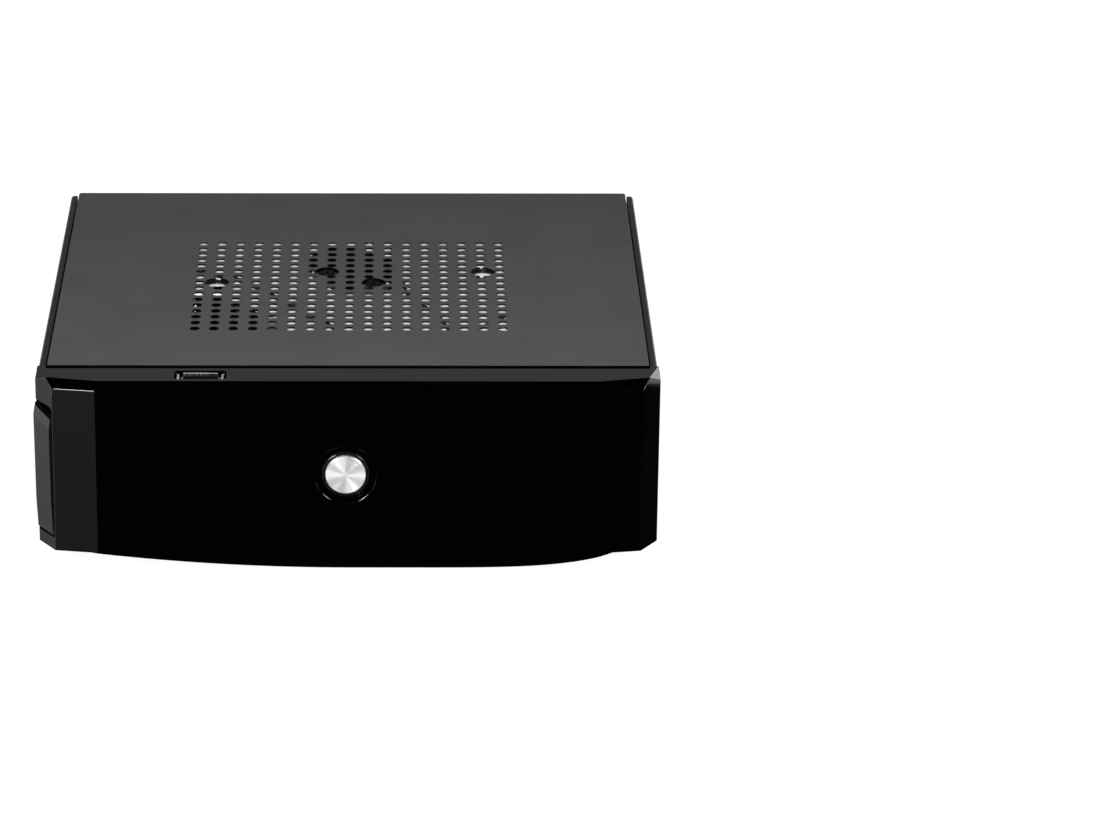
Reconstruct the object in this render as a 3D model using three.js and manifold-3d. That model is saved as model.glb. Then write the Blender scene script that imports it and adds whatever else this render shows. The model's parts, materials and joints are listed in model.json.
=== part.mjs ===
// A compact desktop video recorder: a flat steel case with a perforated top cover, a moulded front bezel
// with a power button and a fold-down side port door, and the boards, fan, drive and connectors inside.
// Millimetres, +Z up. The front faces -Y. Every piece is drawn in the case frame, where x = 0 is the middle
// of the cover, y = 0 is the front end of the case and z = 0 is the surface that the feet stand on.
// The whole group is then shifted so that its origin is the bottom centre of its bounding box.
import * as THREE from 'three';
import { ConvexGeometry } from 'three/addons/geometries/ConvexGeometry.js';
import { mergeVertices } from 'three/addons/utils/BufferGeometryUtils.js';
import Module from 'manifold-3d';

const wasm = await Module();
wasm.setup();

// ---------- driving dimensions ----------

const GAP = 0.3; // clearance left between pieces that rest on each other
const SHEET = 0.8; // cover sheet steel
const WALL = 1.0; // chassis sheet steel

const FOOT_HEIGHT = 6.5;
const COVER_TOP = 76.0; // top face of the cover above the table
const COVER_HALF_WIDTH = 113.3;
const COVER_DEPTH = 196.6;
const COVER_FLANGE = 8;

const PANEL_INNER = 113.8; // side panels run from here outwards
const PANEL_OUTER = 116.5;
const PANEL_TOP = 75.4;
const PANEL_REAR = 194.5;

// front bezel: plan outline, from the rear corner round to the middle of the front
const BEZEL_SIDE = 117.4; // half width at the rear corner
const BEZEL_SIDE_DEPTH = 5.1; // straight side before the corner facet
const FACET_FRONT_X = 110.7;
const FACET_FRONT_Y = -14.95;
const CREASE_X = 94.5; // where the flat front meets the swept-back ends
const FRONT_Y = -17.5;
const BEZEL_BOTTOM = 6.8;
const BEZEL_WALL = 2.5;
const FACET_WALL = 4.0;
const BEVEL_BACK = 1.85; // top bevel of the front: depth and height
const BEVEL_DROP = 3.45;
const LIP_DEPTH = 5.9; // bowed lower lip: its drop below the bezel in the middle
const LIP_LEFT = { reach: 97, power: 2 }; // it runs out in a plain bow on the left
const LIP_RIGHT = { reach: 100, power: 5.5 }; // and stays full, then rises steeply, on the right
const LIP_THICKNESS = 4;

// ventilation field and drive dimples in the cover
const VENT_COLUMNS = 17;
const VENT_ROWS = 16;
const VENT_PITCH_X = 7.4;
const VENT_PITCH_Y = 6.36;
const VENT_FRONT_ROW_Y = 39.2;
const VENT_RADIUS = 1.75;
const VENT_SIDES = 6;
const DRIVE_HOLE_PITCH = 61.72; // hole spacing across a 2.5-inch drive
const DIMPLE_NEAR_X = 9.26; // distance of the inner dimples from the middle
const DIMPLE_MIDDLE_Y = 96.5;
const DIMPLE_OFFSET_Y = 6.2;
const DIMPLE_DEPTH = 2.4;
const DIMPLE_TOP_RADIUS = 5.3;
const DIMPLE_FLOOR_RADIUS = 4.2;
const DIMPLE_HOLE_RADIUS = 3.0;

// power button, on an axis along Y
const BUTTON_X = -0.8;
const BUTTON_Z = 38.8;
const BUTTON_AT = [BUTTON_X, BUTTON_Z];
const BUTTON_RADIUS = 7.55;
const DISH_RADIUS = 12.2;
const RING_INNER = 7.95;
const RING_OUTER = 9.0;
const SWITCH_FACE_Y = -6.4;
const SWITCH_BOARD_Y = -2.6;
const SWITCH_BOARD_HOLES = [
  [BUTTON_X - 12, BUTTON_Z - 7],
  [BUTTON_X + 12, BUTTON_Z - 7],
];

// side port bay behind the door, in the left corner facet
const DOOR_OPENING_BOTTOM = 11.9;
const DOOR_OPENING_TOP = 64.5;
const DOOR_TOP_FRONT = 59.9;
const DOOR_TOP_REAR = 62.9;
const DOOR_FRONT = 5.2; // door edges measured along the facet from its middle
const DOOR_REAR = -7.6;
const DOOR_INNER = -2.0; // door inner face, below the facet surface
const DOOR_PROUD_TOP = 1.2;
const DOOR_PROUD_BOTTOM = 0.4;
const RECESS_FLOOR = -2.4;
const HINGE_X = -0.8;
const HINGE_Z = 13.5;
const HINGE_PIN_RADIUS = 0.5;

// socket in the top strip of the bezel
const TOP_PORT_X = -55.2;
const TOP_PORT_Y = -9.4;

// main board, 170 mm square
const BOARD_SIZE = 170;
const BOARD_LEFT = -103;
const BOARD_REAR = 194;
const BOARD_BOTTOM = 13.5;
const BOARD_THICKNESS = 1.6;
const BOARD_HOLES = [
  [6.4, 10.2],
  [163.6, 10.2],
  [6.4, 159.8],
  [163.6, 159.8],
];

// fan and heat sink
const FAN_X = -18;
const FAN_Y = 130;
const FAN_SIZE = 50;
const FAN_BOTTOM = 38.6;
const FAN_DEPTH = 10;
const FAN_BORE = 23.5;
const FAN_BLADES = 7;

// drive carrier under the cover
const TRAY_TOP = 72.5;
const DRIVE_WIDTH = 69.85;
const DRIVE_LENGTH = 100.5;
const DRIVE_HEIGHT = 9.5;
const DRIVE_FRONT = 44;

const REAR_WALL_OUTER = 195.6;
const COVER_SCREWS = [-95, 95]; // x of the two screws that hold the cover at the back
const COVER_SCREW_Z = 71.2;
const SCREW_CLEARANCE = 1.9; // radius of the holes that the cover screws pass through
const DC_INLET = [85, 24]; // x, z
const IO_LEFT = -100;
const IO_RIGHT = 58.75;
const IO_BOTTOM = 12.9;
const IO_TOP = 57.3;

// ---------- derived values ----------

const FLOOR_BOTTOM = FOOT_HEIGHT;
const FLOOR_TOP = FLOOR_BOTTOM + WALL;
const COVER_UNDER = COVER_TOP - SHEET;
const BOARD_TOP = BOARD_BOTTOM + BOARD_THICKNESS;
const BOARD_FRONT = BOARD_REAR - BOARD_SIZE;
const TRAY_BOTTOM = TRAY_TOP - WALL;
const DRIVE_TOP = TRAY_BOTTOM - GAP;
const DIMPLE_FAR_X = DRIVE_HOLE_PITCH - DIMPLE_NEAR_X;
const DIMPLES = [
  [-DIMPLE_FAR_X, DIMPLE_MIDDLE_Y - DIMPLE_OFFSET_Y],
  [-DIMPLE_NEAR_X, DIMPLE_MIDDLE_Y + DIMPLE_OFFSET_Y],
  [DIMPLE_NEAR_X, DIMPLE_MIDDLE_Y - DIMPLE_OFFSET_Y],
  [DIMPLE_FAR_X, DIMPLE_MIDDLE_Y + DIMPLE_OFFSET_Y],
];
const SCREWED_DIMPLES = [DIMPLES[1], DIMPLES[2]];
const CHASSIS_HALF = COVER_HALF_WIDTH + 0.1;
const COVER_FLANGE_BOTTOM = COVER_UNDER - COVER_FLANGE;

// ---------- materials ----------

function finish(color, roughness, metalness = 0) {
  return new THREE.MeshStandardMaterial({ color, roughness, metalness });
}

const steelBlack = finish(0x2a2b2c, 0.45, 0.2);
const bezelGloss = finish(0x07070a, 0.08);
const satinBlack = finish(0x1c1d1f, 0.4);
const rubberBlack = finish(0x141414, 0.9);
const zincSteel = finish(0xb9bcc0, 0.35, 0.9);
const brightSteel = finish(0xd0d3d6, 0.25, 1.0);
const aluminium = finish(0xd8dadc, 0.3, 1.0);
const smokedRing = finish(0x303236, 0.3);
const boardGreen = finish(0x123a24, 0.5);
const socketBlack = finish(0x101113, 0.55);
const socketWhite = finish(0xe8e8e4, 0.5);
const cableBlack = finish(0x0c0c0d, 0.6);
const chipGrey = finish(0x26282b, 0.5);

// ---------- solid modelling helpers ----------

function toSolid(geometry) {
  const bare = geometry.clone();
  bare.deleteAttribute('normal');
  bare.deleteAttribute('uv');
  const merged = mergeVertices(bare, 1e-4);
  return new wasm.Manifold(
    new wasm.Mesh({
      numProp: 3,
      vertProperties: new Float32Array(merged.attributes.position.array),
      triVerts: new Uint32Array(merged.index.array),
    }),
  );
}

function toGeometry(solid) {
  const mesh = solid.getMesh();
  const geometry = new THREE.BufferGeometry();
  geometry.setAttribute('position', new THREE.BufferAttribute(mesh.vertProperties, 3));
  geometry.setIndex(new THREE.BufferAttribute(mesh.triVerts, 1));
  geometry.computeVertexNormals();
  return geometry;
}

function block(x0, x1, y0, y1, z0, z1) {
  const geometry = new THREE.BoxGeometry(x1 - x0, y1 - y0, z1 - z0);
  geometry.translate((x0 + x1) / 2, (y0 + y1) / 2, (z0 + z1) / 2);
  return toSolid(geometry);
}

// A cylinder or cone frustum along an axis; across holds its place in the other two axes, in x, y, z order.
function rod(axis, across, from, to, radius, { endRadius = radius, sides = 16 } = {}) {
  const geometry = new THREE.CylinderGeometry(endRadius, radius, to - from, sides);
  geometry.translate(0, (from + to) / 2, 0);
  if (axis === 'z') {
    geometry.rotateX(Math.PI / 2);
    geometry.translate(across[0], across[1], 0);
  } else if (axis === 'y') {
    geometry.translate(across[0], 0, across[1]);
  } else {
    geometry.rotateZ(-Math.PI / 2);
    geometry.translate(0, across[0], across[1]);
  }
  return toSolid(geometry);
}

function outline(points) {
  return new THREE.Shape(points.map(([x, y]) => new THREE.Vector2(x, y)));
}

// An outline in x, y pulled up from z0 to z1.
function prismZ(points, z0, z1) {
  const geometry = new THREE.ExtrudeGeometry(outline(points), { depth: z1 - z0, bevelEnabled: false });
  geometry.translate(0, 0, z0);
  return toSolid(geometry);
}

// An outline in x, z pushed back from y0 to y1.
function prismY(points, y0, y1) {
  const geometry = new THREE.ExtrudeGeometry(outline(points), { depth: y1 - y0, bevelEnabled: false });
  geometry.rotateX(Math.PI / 2);
  geometry.translate(0, y1, 0);
  return toSolid(geometry);
}

// A ring turned about an axis along Y through x, z; its profile points, as radius, y, run anticlockwise.
function turnedY(profile, x, z, sides) {
  const points = [...profile, profile[0]].map(([radius, y]) => new THREE.Vector2(radius, y));
  const geometry = new THREE.LatheGeometry(points, sides);
  geometry.translate(x, 0, z);
  return toSolid(geometry);
}

function hull(points) {
  return toSolid(new ConvexGeometry(points.map(([x, y, z]) => new THREE.Vector3(x, y, z))));
}

function joinAll(solids) {
  return solids.reduce((whole, piece) => whole.add(piece));
}

function cutAll(solid, cutters) {
  return cutters.reduce((rest, cutter) => rest.subtract(cutter), solid);
}

// A round cable along a smooth curve through its points.
function tube(points, radius, steps) {
  const path = new THREE.CatmullRomCurve3(points.map(([x, y, z]) => new THREE.Vector3(x, y, z)));
  const section = new THREE.Shape();
  section.absarc(0, 0, radius, 0, Math.PI * 2);
  return toSolid(new THREE.ExtrudeGeometry(section, { steps, extrudePath: path, curveSegments: 4 }));
}

const recorder = new THREE.Group();

function addPart(name, solid, material, parent = recorder) {
  const mesh = new THREE.Mesh(toGeometry(solid), material);
  mesh.name = name;
  parent.add(mesh);
}

// ---------- corner facet frame ----------

// In this frame X points out of the left corner facet, Y runs along it towards the front and Z is up.
const facetRear = new THREE.Vector2(-BEZEL_SIDE, -BEZEL_SIDE_DEPTH);
const facetFront = new THREE.Vector2(-FACET_FRONT_X, FACET_FRONT_Y);
const facetMiddle = facetRear.clone().add(facetFront).multiplyScalar(0.5);
const facetAlong = facetFront.clone().sub(facetRear).normalize();
const facetAngle = Math.atan2(-facetAlong.x, facetAlong.y);
const portBay = new THREE.Group();
portBay.position.set(facetMiddle.x, facetMiddle.y, 0);
portBay.rotation.z = facetAngle;
portBay.updateMatrix();
recorder.add(portBay);

function inFacetFrame(solid) {
  return toSolid(toGeometry(solid).applyMatrix4(portBay.matrix));
}

// ---------- sheet metal case ----------

function chassisBase() {
  const rearWallInner = REAR_WALL_OUTER - WALL;
  const frontWall = [2.5, 2.5 + WALL];
  const sideWallTop = 20;
  const inCover = COVER_HALF_WIDTH - SHEET - 1; // half width of what stands between the cover's flanges
  const shell = joinAll([
    block(-CHASSIS_HALF, CHASSIS_HALF, 1, REAR_WALL_OUTER, FLOOR_BOTTOM, FLOOR_TOP),
    block(-CHASSIS_HALF, -CHASSIS_HALF + WALL, 1, REAR_WALL_OUTER, FLOOR_BOTTOM, sideWallTop),
    block(CHASSIS_HALF - WALL, CHASSIS_HALF, 1, REAR_WALL_OUTER, FLOOR_BOTTOM, sideWallTop),
    block(
      -CHASSIS_HALF,
      CHASSIS_HALF,
      rearWallInner,
      REAR_WALL_OUTER,
      FLOOR_BOTTOM,
      COVER_FLANGE_BOTTOM - GAP,
    ),
    block(-inCover, inCover, rearWallInner, REAR_WALL_OUTER, FLOOR_BOTTOM, COVER_UNDER - GAP),
    block(-inCover, inCover, ...frontWall, FLOOR_BOTTOM, COVER_UNDER - GAP),
  ]);
  const standoffs = BOARD_HOLES.map(([x, y]) =>
    rod('z', [BOARD_LEFT + x, BOARD_FRONT + y], FLOOR_BOTTOM + 0.4, BOARD_BOTTOM - GAP, 3.5, { sides: 12 }),
  );
  const postFront = SWITCH_BOARD_Y + BOARD_THICKNESS + GAP;
  const switchPosts = SWITCH_BOARD_HOLES.map((at) => rod('y', at, postFront, 3, 2.5, { sides: 12 }));
  const standoffBores = BOARD_HOLES.map(([x, y]) =>
    rod('z', [BOARD_LEFT + x, BOARD_FRONT + y], FLOOR_TOP, BOARD_BOTTOM + 1, 1.7, { sides: 8 }),
  );
  const rearSlots = [74, 80, 86, 92, 98, 104].map((x) =>
    block(x - 1.5, x + 1.5, rearWallInner - 1, REAR_WALL_OUTER + 1, 38, 60),
  );
  const rearHoles = [
    block(
      IO_LEFT + 1.5,
      IO_RIGHT - 1.5,
      rearWallInner - 1,
      REAR_WALL_OUTER + 1,
      IO_BOTTOM + 1.5,
      IO_TOP - 1.5,
    ),
    rod('y', DC_INLET, rearWallInner - 1, REAR_WALL_OUTER + 1, 5.8),
    ...COVER_SCREWS.map((x) =>
      rod('y', [x, COVER_SCREW_Z], rearWallInner - 1, REAR_WALL_OUTER + 1, SCREW_CLEARANCE, { sides: 10 }),
    ),
  ];
  const frontHoles = [
    block(-108, -90, 1, 5, 16, 60), // wiring of the side ports
    block(-66, -46, 1, 5, 48, 66), // wiring of the top port
    block(50, 72, 1, 5, 20, 60), // air inlet
  ];
  const clipSlots = BEZEL_CLIPS.map(([x, z]) => block(x - 5, x + 5, 1, 5, z - 1.2, z + 1.2));
  return cutAll(shell.add(joinAll([...standoffs, ...switchPosts])), [
    ...standoffBores,
    ...rearSlots,
    ...rearHoles,
    ...frontHoles,
    ...clipSlots,
  ]);
}

function topCover() {
  const rearLip = COVER_DEPTH - SHEET;
  const half = COVER_HALF_WIDTH;
  const sheet = joinAll([
    block(-half, half, 0.4, COVER_DEPTH, COVER_UNDER, COVER_TOP),
    block(-half, -half + SHEET, 0.4, COVER_DEPTH, COVER_FLANGE_BOTTOM, COVER_TOP),
    block(half - SHEET, half, 0.4, COVER_DEPTH, COVER_FLANGE_BOTTOM, COVER_TOP),
    block(-half, half, 0.4, 0.4 + SHEET, COVER_FLANGE_BOTTOM + 2, COVER_TOP),
    block(-half, half, rearLip, COVER_DEPTH, COVER_FLANGE_BOTTOM, COVER_TOP),
  ]);
  const vents = [];
  for (let row = 0; row < VENT_ROWS; row++) {
    for (let column = 0; column < VENT_COLUMNS; column++) {
      const x = (column - (VENT_COLUMNS - 1) / 2) * VENT_PITCH_X;
      const y = VENT_FRONT_ROW_Y + row * VENT_PITCH_Y;
      const clear = DIMPLES.every(([dx, dy]) => Math.hypot(x - dx, y - dy) > DIMPLE_TOP_RADIUS + 0.2);
      if (clear) {
        vents.push(rod('z', [x, y], COVER_UNDER - 1, COVER_TOP + 1, VENT_RADIUS, { sides: VENT_SIDES }));
      }
    }
  }
  const floor = COVER_TOP - DIMPLE_DEPTH;
  const dishes = DIMPLES.map((at) =>
    rod('z', at, floor - SHEET, COVER_TOP, DIMPLE_FLOOR_RADIUS + SHEET, {
      endRadius: DIMPLE_TOP_RADIUS + SHEET,
    }),
  );
  const hollows = DIMPLES.flatMap((at) => [
    rod('z', at, floor, COVER_TOP + 0.01, DIMPLE_FLOOR_RADIUS, { endRadius: DIMPLE_TOP_RADIUS }),
    rod('z', at, floor - 2, COVER_TOP, DIMPLE_HOLE_RADIUS, { sides: 12 }),
  ]);
  const screwHoles = COVER_SCREWS.map((x) =>
    rod('y', [x, COVER_SCREW_Z], rearLip - 1, COVER_DEPTH + 1, SCREW_CLEARANCE, { sides: 10 }),
  );
  return cutAll(cutAll(sheet, vents).add(joinAll(dishes)), [...hollows, ...screwHoles]);
}

function sidePanel(side) {
  const chamfer = 1.2;
  const section = [
    [PANEL_INNER, FLOOR_TOP - GAP],
    [PANEL_OUTER, FLOOR_TOP - GAP],
    [PANEL_OUTER, PANEL_TOP - chamfer],
    [PANEL_OUTER - chamfer, PANEL_TOP],
    [PANEL_INNER, PANEL_TOP],
  ];
  const mirrored = section.map(([x, z]) => [side * x, z]);
  return prismY(mirrored, GAP, PANEL_REAR);
}

function coverScrew(x) {
  const head = rod('y', [x, COVER_SCREW_Z], COVER_DEPTH + 0.1, COVER_DEPTH + 1.9, 3.2);
  const shank = rod('y', [x, COVER_SCREW_Z], REAR_WALL_OUTER - 5, COVER_DEPTH + 0.5, 1.4, { sides: 10 });
  return head.add(shank);
}

function foot(x, y) {
  return rod('z', [x, y], 0, FOOT_HEIGHT - 0.1, 7, { endRadius: 8, sides: 20 });
}

// ---------- front bezel ----------

// Clips at the back of the bezel, as x, z, that snap through slots in the chassis front wall.
const BEZEL_CLIPS = [
  [-78, 65],
  [78, 65],
  [-78, 11.5],
  [78, 11.5],
];

// Half of the bezel's plan outline, inset by a wall thickness.
function bezelPlan(wall, facetWall, bevel) {
  const slope = (BEZEL_SIDE - FACET_FRONT_X) / (-FACET_FRONT_Y - BEZEL_SIDE_DEPTH);
  const inset = facetWall * 1.2;
  const cornerX = FACET_FRONT_X + bevel * slope;
  return [
    [BEZEL_SIDE - wall, 0],
    [BEZEL_SIDE - wall, -BEZEL_SIDE_DEPTH + wall * 0.3 + facetWall * 0.2],
    [cornerX - inset * 0.7, FACET_FRONT_Y + bevel + inset * 0.5],
    [CREASE_X, FRONT_Y + bevel + wall],
  ];
}

function bezelRing(plan, z) {
  return plan.flatMap(([x, y]) => [
    [x, y, z],
    [-x, y, z],
  ]);
}

// What is cut away under the bezel, leaving its bowed lip along the front.
function underBezel() {
  const steps = 24;
  const below = BEZEL_BOTTOM - LIP_DEPTH - 2;
  const wide = 140;
  const points = [
    [-wide, BEZEL_BOTTOM],
    [-wide, below],
    [wide, below],
    [wide, BEZEL_BOTTOM],
  ];
  for (let i = 0; i <= steps; i++) {
    const t = Math.cos((Math.PI * i) / steps);
    const { reach, power } = t > 0 ? LIP_RIGHT : LIP_LEFT;
    const drop = LIP_DEPTH * (1 - Math.pow(Math.abs(t), power));
    points.push([t * reach, BEZEL_BOTTOM - drop]);
  }
  const behindLip = block(-wide, wide, FRONT_Y + LIP_THICKNESS, 5, below, BEZEL_BOTTOM);
  return prismY(points, -30, 5).add(behindLip);
}

function frontBezel() {
  const outside = hull([
    ...bezelRing(bezelPlan(0, 0, 0), BEZEL_BOTTOM - LIP_DEPTH - 1),
    ...bezelRing(bezelPlan(0, 0, 0), COVER_TOP - BEVEL_DROP),
    ...bezelRing(bezelPlan(0, 0, BEVEL_BACK), COVER_TOP),
  ]);
  const cavityPlan = bezelPlan(BEZEL_WALL, FACET_WALL, 0);
  const cavityBack = cavityPlan.map(([x, y]) => [x, y === 0 ? 5 : y]);
  const inside = hull([
    ...bezelRing(cavityBack, BEZEL_BOTTOM + BEZEL_WALL),
    ...bezelRing(cavityBack, COVER_TOP - BEZEL_WALL),
  ]);
  const clips = BEZEL_CLIPS.flatMap(([x, z]) => {
    const outward = z > BUTTON_Z ? 1 : -1;
    const root = z + outward * 0.8;
    const edge = outward > 0 ? COVER_TOP - 1 : BEZEL_BOTTOM + 1;
    return [
      block(x - 4, x + 4, -9, 5.2, z - 0.8, z + 0.8),
      block(x - 4, x + 4, -9, -6, Math.min(root, edge), Math.max(root, edge)),
    ];
  });
  const lug = inFacetFrame(block(RECESS_FLOOR - 1, 0.4, -1, 1, DOOR_OPENING_BOTTOM + 0.3, HINGE_Z + 1.2));
  const recess = inFacetFrame(block(RECESS_FLOOR, 4, -8.4, 5.5, DOOR_OPENING_BOTTOM, DOOR_OPENING_TOP));
  const bay = inFacetFrame(block(-9, 0, -4.2, 4.4, 16.5, 58.5));
  const pinHole = inFacetFrame(rod('y', [HINGE_X, HINGE_Z], -2, 2, HINGE_PIN_RADIUS + GAP, { sides: 8 }));
  const dishHole = rod('y', BUTTON_AT, FRONT_Y - 1, FRONT_Y + 5, DISH_RADIUS + GAP, { sides: 32 });
  const topSlot = stadium(TOP_PORT_X, TOP_PORT_Y, 19.3, 8.2, COVER_TOP - 4, COVER_TOP + 1);
  return cutAll(outside, [underBezel(), inside, recess, bay, dishHole, topSlot])
    .add(joinAll([lug, ...clips]))
    .subtract(pinHole);
}

// A slot with clipped corners, as x, y centre, width and depth, between two heights.
function stadium(x, y, width, depth, z0, z1) {
  const cut = 1.2;
  const w = width / 2;
  const d = depth / 2;
  const corners = [
    [-w, -d + cut],
    [-w + cut, -d],
    [w - cut, -d],
    [w, -d + cut],
    [w, d - cut],
    [w - cut, d],
    [-w + cut, d],
    [-w, d - cut],
  ];
  return prismZ(
    corners.map(([cx, cy]) => [x + cx, y + cy]),
    z0,
    z1,
  );
}

// ---------- power button ----------

function buttonTrim() {
  const profile = [
    [9.3, FRONT_Y + 0.3],
    [9.7, FRONT_Y + 0.3],
    [10.0, FRONT_Y + 1.6],
    [DISH_RADIUS, FRONT_Y],
    [DISH_RADIUS, FRONT_Y + 2.8],
    [14.5, FRONT_Y + 2.8],
    [14.5, FRONT_Y + 4.3],
    [9.3, FRONT_Y + 4.3],
  ];
  return turnedY(profile, BUTTON_X, BUTTON_Z, 32);
}

function lightRing() {
  const profile = [
    [RING_INNER, FRONT_Y + 0.6],
    [RING_OUTER, FRONT_Y + 0.6],
    [RING_OUTER, FRONT_Y + 4.6],
    [11.5, FRONT_Y + 4.6],
    [11.5, FRONT_Y + 6],
    [RING_INNER, FRONT_Y + 6],
  ];
  return turnedY(profile, BUTTON_X, BUTTON_Z, 28);
}

function buttonCap() {
  const face = FRONT_Y + 0.1;
  const edge = rod('y', BUTTON_AT, face, face + 0.5, BUTTON_RADIUS - 0.5, {
    endRadius: BUTTON_RADIUS,
    sides: 28,
  });
  return edge.add(rod('y', BUTTON_AT, face + 0.5, face + 2.1, BUTTON_RADIUS, { sides: 28 }));
}

function buttonStem() {
  const back = FRONT_Y + 2.3;
  const flange = rod('y', BUTTON_AT, back, back + 1.6, 6.8, { sides: 24 });
  return flange.add(rod('y', BUTTON_AT, back, SWITCH_FACE_Y - 1.6, 2.4));
}

function switchBoard() {
  const board = block(
    BUTTON_X - 16,
    BUTTON_X + 16,
    SWITCH_BOARD_Y,
    SWITCH_BOARD_Y + BOARD_THICKNESS,
    BUTTON_Z - 11,
    BUTTON_Z + 10,
  );
  const holes = SWITCH_BOARD_HOLES.map((at) => rod('y', at, -4, 1, 1.4, { sides: 10 }));
  return cutAll(board, holes);
}

function powerSwitch() {
  const half = 3;
  const body = block(
    BUTTON_X - half,
    BUTTON_X + half,
    SWITCH_FACE_Y,
    SWITCH_BOARD_Y - 0.1,
    BUTTON_Z - half,
    BUTTON_Z + half,
  );
  return body.subtract(rod('y', BUTTON_AT, SWITCH_FACE_Y - 1, SWITCH_FACE_Y + 3, 2.0));
}

function switchPlunger() {
  return rod('y', BUTTON_AT, SWITCH_FACE_Y - 1.3, SWITCH_FACE_Y + 1.5, 1.6, { sides: 12 });
}

// ---------- side port bay ----------

// One level of the port door, in the facet frame; the rear end wraps round onto the side of the bezel.
function doorLevel(inner, proud, zFront, zRear) {
  const sideX = -BEZEL_SIDE - proud * 0.83 - facetMiddle.x;
  const outX = facetAlong.y;
  const outY = facetAlong.x;
  const yAt = (x) => (sideX - x * outX) / outY;
  const wrapX = (sideX - DOOR_REAR * outY) / outX;
  const z = (y) => THREE.MathUtils.mapLinear(y, DOOR_FRONT, DOOR_REAR, zFront, zRear);
  const corners = [
    [inner, DOOR_FRONT],
    [proud, DOOR_FRONT],
    [proud, yAt(proud)],
    [wrapX, DOOR_REAR],
    [inner, DOOR_REAR],
  ];
  return corners.map(([x, y]) => [x, y, z(y)]);
}

function portDoor() {
  const bottom = DOOR_OPENING_BOTTOM + 0.4;
  const shoulder = 3.7; // height of the sloping top edge
  const panel = hull([
    ...doorLevel(HINGE_X - 0.4, DOOR_PROUD_BOTTOM - 0.7, bottom, bottom),
    ...doorLevel(DOOR_INNER, DOOR_PROUD_BOTTOM, bottom + 0.8, bottom + 0.8),
    ...doorLevel(DOOR_INNER, DOOR_PROUD_TOP, DOOR_TOP_FRONT - shoulder, DOOR_TOP_REAR - shoulder),
    ...doorLevel(DOOR_INNER, DOOR_PROUD_BOTTOM, DOOR_TOP_FRONT, DOOR_TOP_REAR),
  ]);
  return cutAll(panel, [
    rod('y', [HINGE_X, HINGE_Z], -9, 9, HINGE_PIN_RADIUS + GAP, { sides: 8 }),
    block(DOOR_INNER - 1, 3, -1.4, 1.4, DOOR_OPENING_BOTTOM - 1, HINGE_Z + 2),
  ]);
}

function hingePin() {
  return rod('y', [HINGE_X, HINGE_Z], -5.4, 4.8, HINGE_PIN_RADIUS, { sides: 8 });
}

function sideUsbShell(z) {
  const shell = block(-16, -3.6, -2.9, 2.9, z - 6.55, z + 6.55);
  return shell.subtract(block(-15.5, -2, -2.5, 2.5, z - 6.15, z + 6.15));
}

function sideUsbTongue(z) {
  return block(-15.2, -4.6, -0.9, 0.9, z - 5.2, z + 5.2);
}

function sideAudioJack(z) {
  const body = block(-15, -4.6, -2.9, 2.9, z - 3.2, z + 3.2);
  const nose = rod('x', [0, z], -5, -3.6, 2.9);
  return body.add(nose).subtract(rod('x', [0, z], -14, -3, 1.8, { sides: 12 }));
}

// ---------- socket in the top strip ----------

function topUsbShell() {
  const top = COVER_TOP - 0.4;
  const around = (halfWidth, halfDepth, bottom, end) =>
    block(
      TOP_PORT_X - halfWidth,
      TOP_PORT_X + halfWidth,
      TOP_PORT_Y - halfDepth,
      TOP_PORT_Y + halfDepth,
      bottom,
      end,
    );
  const sleeve = around(7.4, 3.4, top - 13, top);
  const ears = around(8.6, 1.8, top - 1, top - 0.5);
  return sleeve.add(ears).subtract(around(6.4, 2.5, top - 12, top + 1));
}

function topUsbTongue() {
  const top = COVER_TOP - 2;
  return block(TOP_PORT_X - 5.6, TOP_PORT_X + 5.6, TOP_PORT_Y - 0.2, TOP_PORT_Y + 1.7, top - 10, top);
}

// ---------- main board and what it carries ----------

function mainBoard() {
  const board = block(
    BOARD_LEFT,
    BOARD_LEFT + BOARD_SIZE,
    BOARD_FRONT,
    BOARD_REAR,
    BOARD_BOTTOM,
    BOARD_TOP,
  );
  const holes = BOARD_HOLES.map(([x, y]) =>
    rod('z', [BOARD_LEFT + x, BOARD_FRONT + y], BOARD_BOTTOM - 1, BOARD_TOP + 1, 2, { sides: 10 }),
  );
  const headers = [
    block(-92, -74, 106, 112, BOARD_TOP - 0.2, BOARD_TOP + 6), // drive data
    block(52, 62, 68, 80, BOARD_TOP - 0.2, BOARD_TOP + 7), // drive power
    block(0, 8, 171, 181, BOARD_TOP - 0.2, BOARD_TOP + 6), // front panel power
    block(-90, 40, 40, 46, BOARD_TOP - 0.2, BOARD_TOP + 5), // memory socket
    block(-62, -44, 60, 78, BOARD_TOP - 0.2, BOARD_TOP + 1.6), // video capture chip
    block(-30, -12, 60, 78, BOARD_TOP - 0.2, BOARD_TOP + 1.6), // network and audio chip
  ];
  return cutAll(board, holes).add(joinAll(headers));
}

function boardScrew(x, y) {
  const head = rod('z', [x, y], BOARD_TOP + 0.1, BOARD_TOP + 2, 3, { sides: 12 });
  return head.add(rod('z', [x, y], BOARD_BOTTOM - 4, BOARD_TOP + 1, 1.2, { sides: 8 }));
}

function heatSink() {
  const fins = 9;
  const half = FAN_SIZE / 2 + 1;
  const base = BOARD_TOP + 2.6;
  const top = FAN_BOTTOM - GAP;
  const pitch = (2 * half - 1.4) / (fins - 1);
  const plate = block(FAN_X - half, FAN_X + half, FAN_Y - half, FAN_Y + half, base, base + 4);
  const blades = Array.from({ length: fins }, (_, i) => {
    const left = FAN_X - half + i * pitch;
    return block(left, left + 1.4, FAN_Y - half, FAN_Y + half, base + 3, top);
  });
  return plate.add(joinAll(blades));
}

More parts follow.
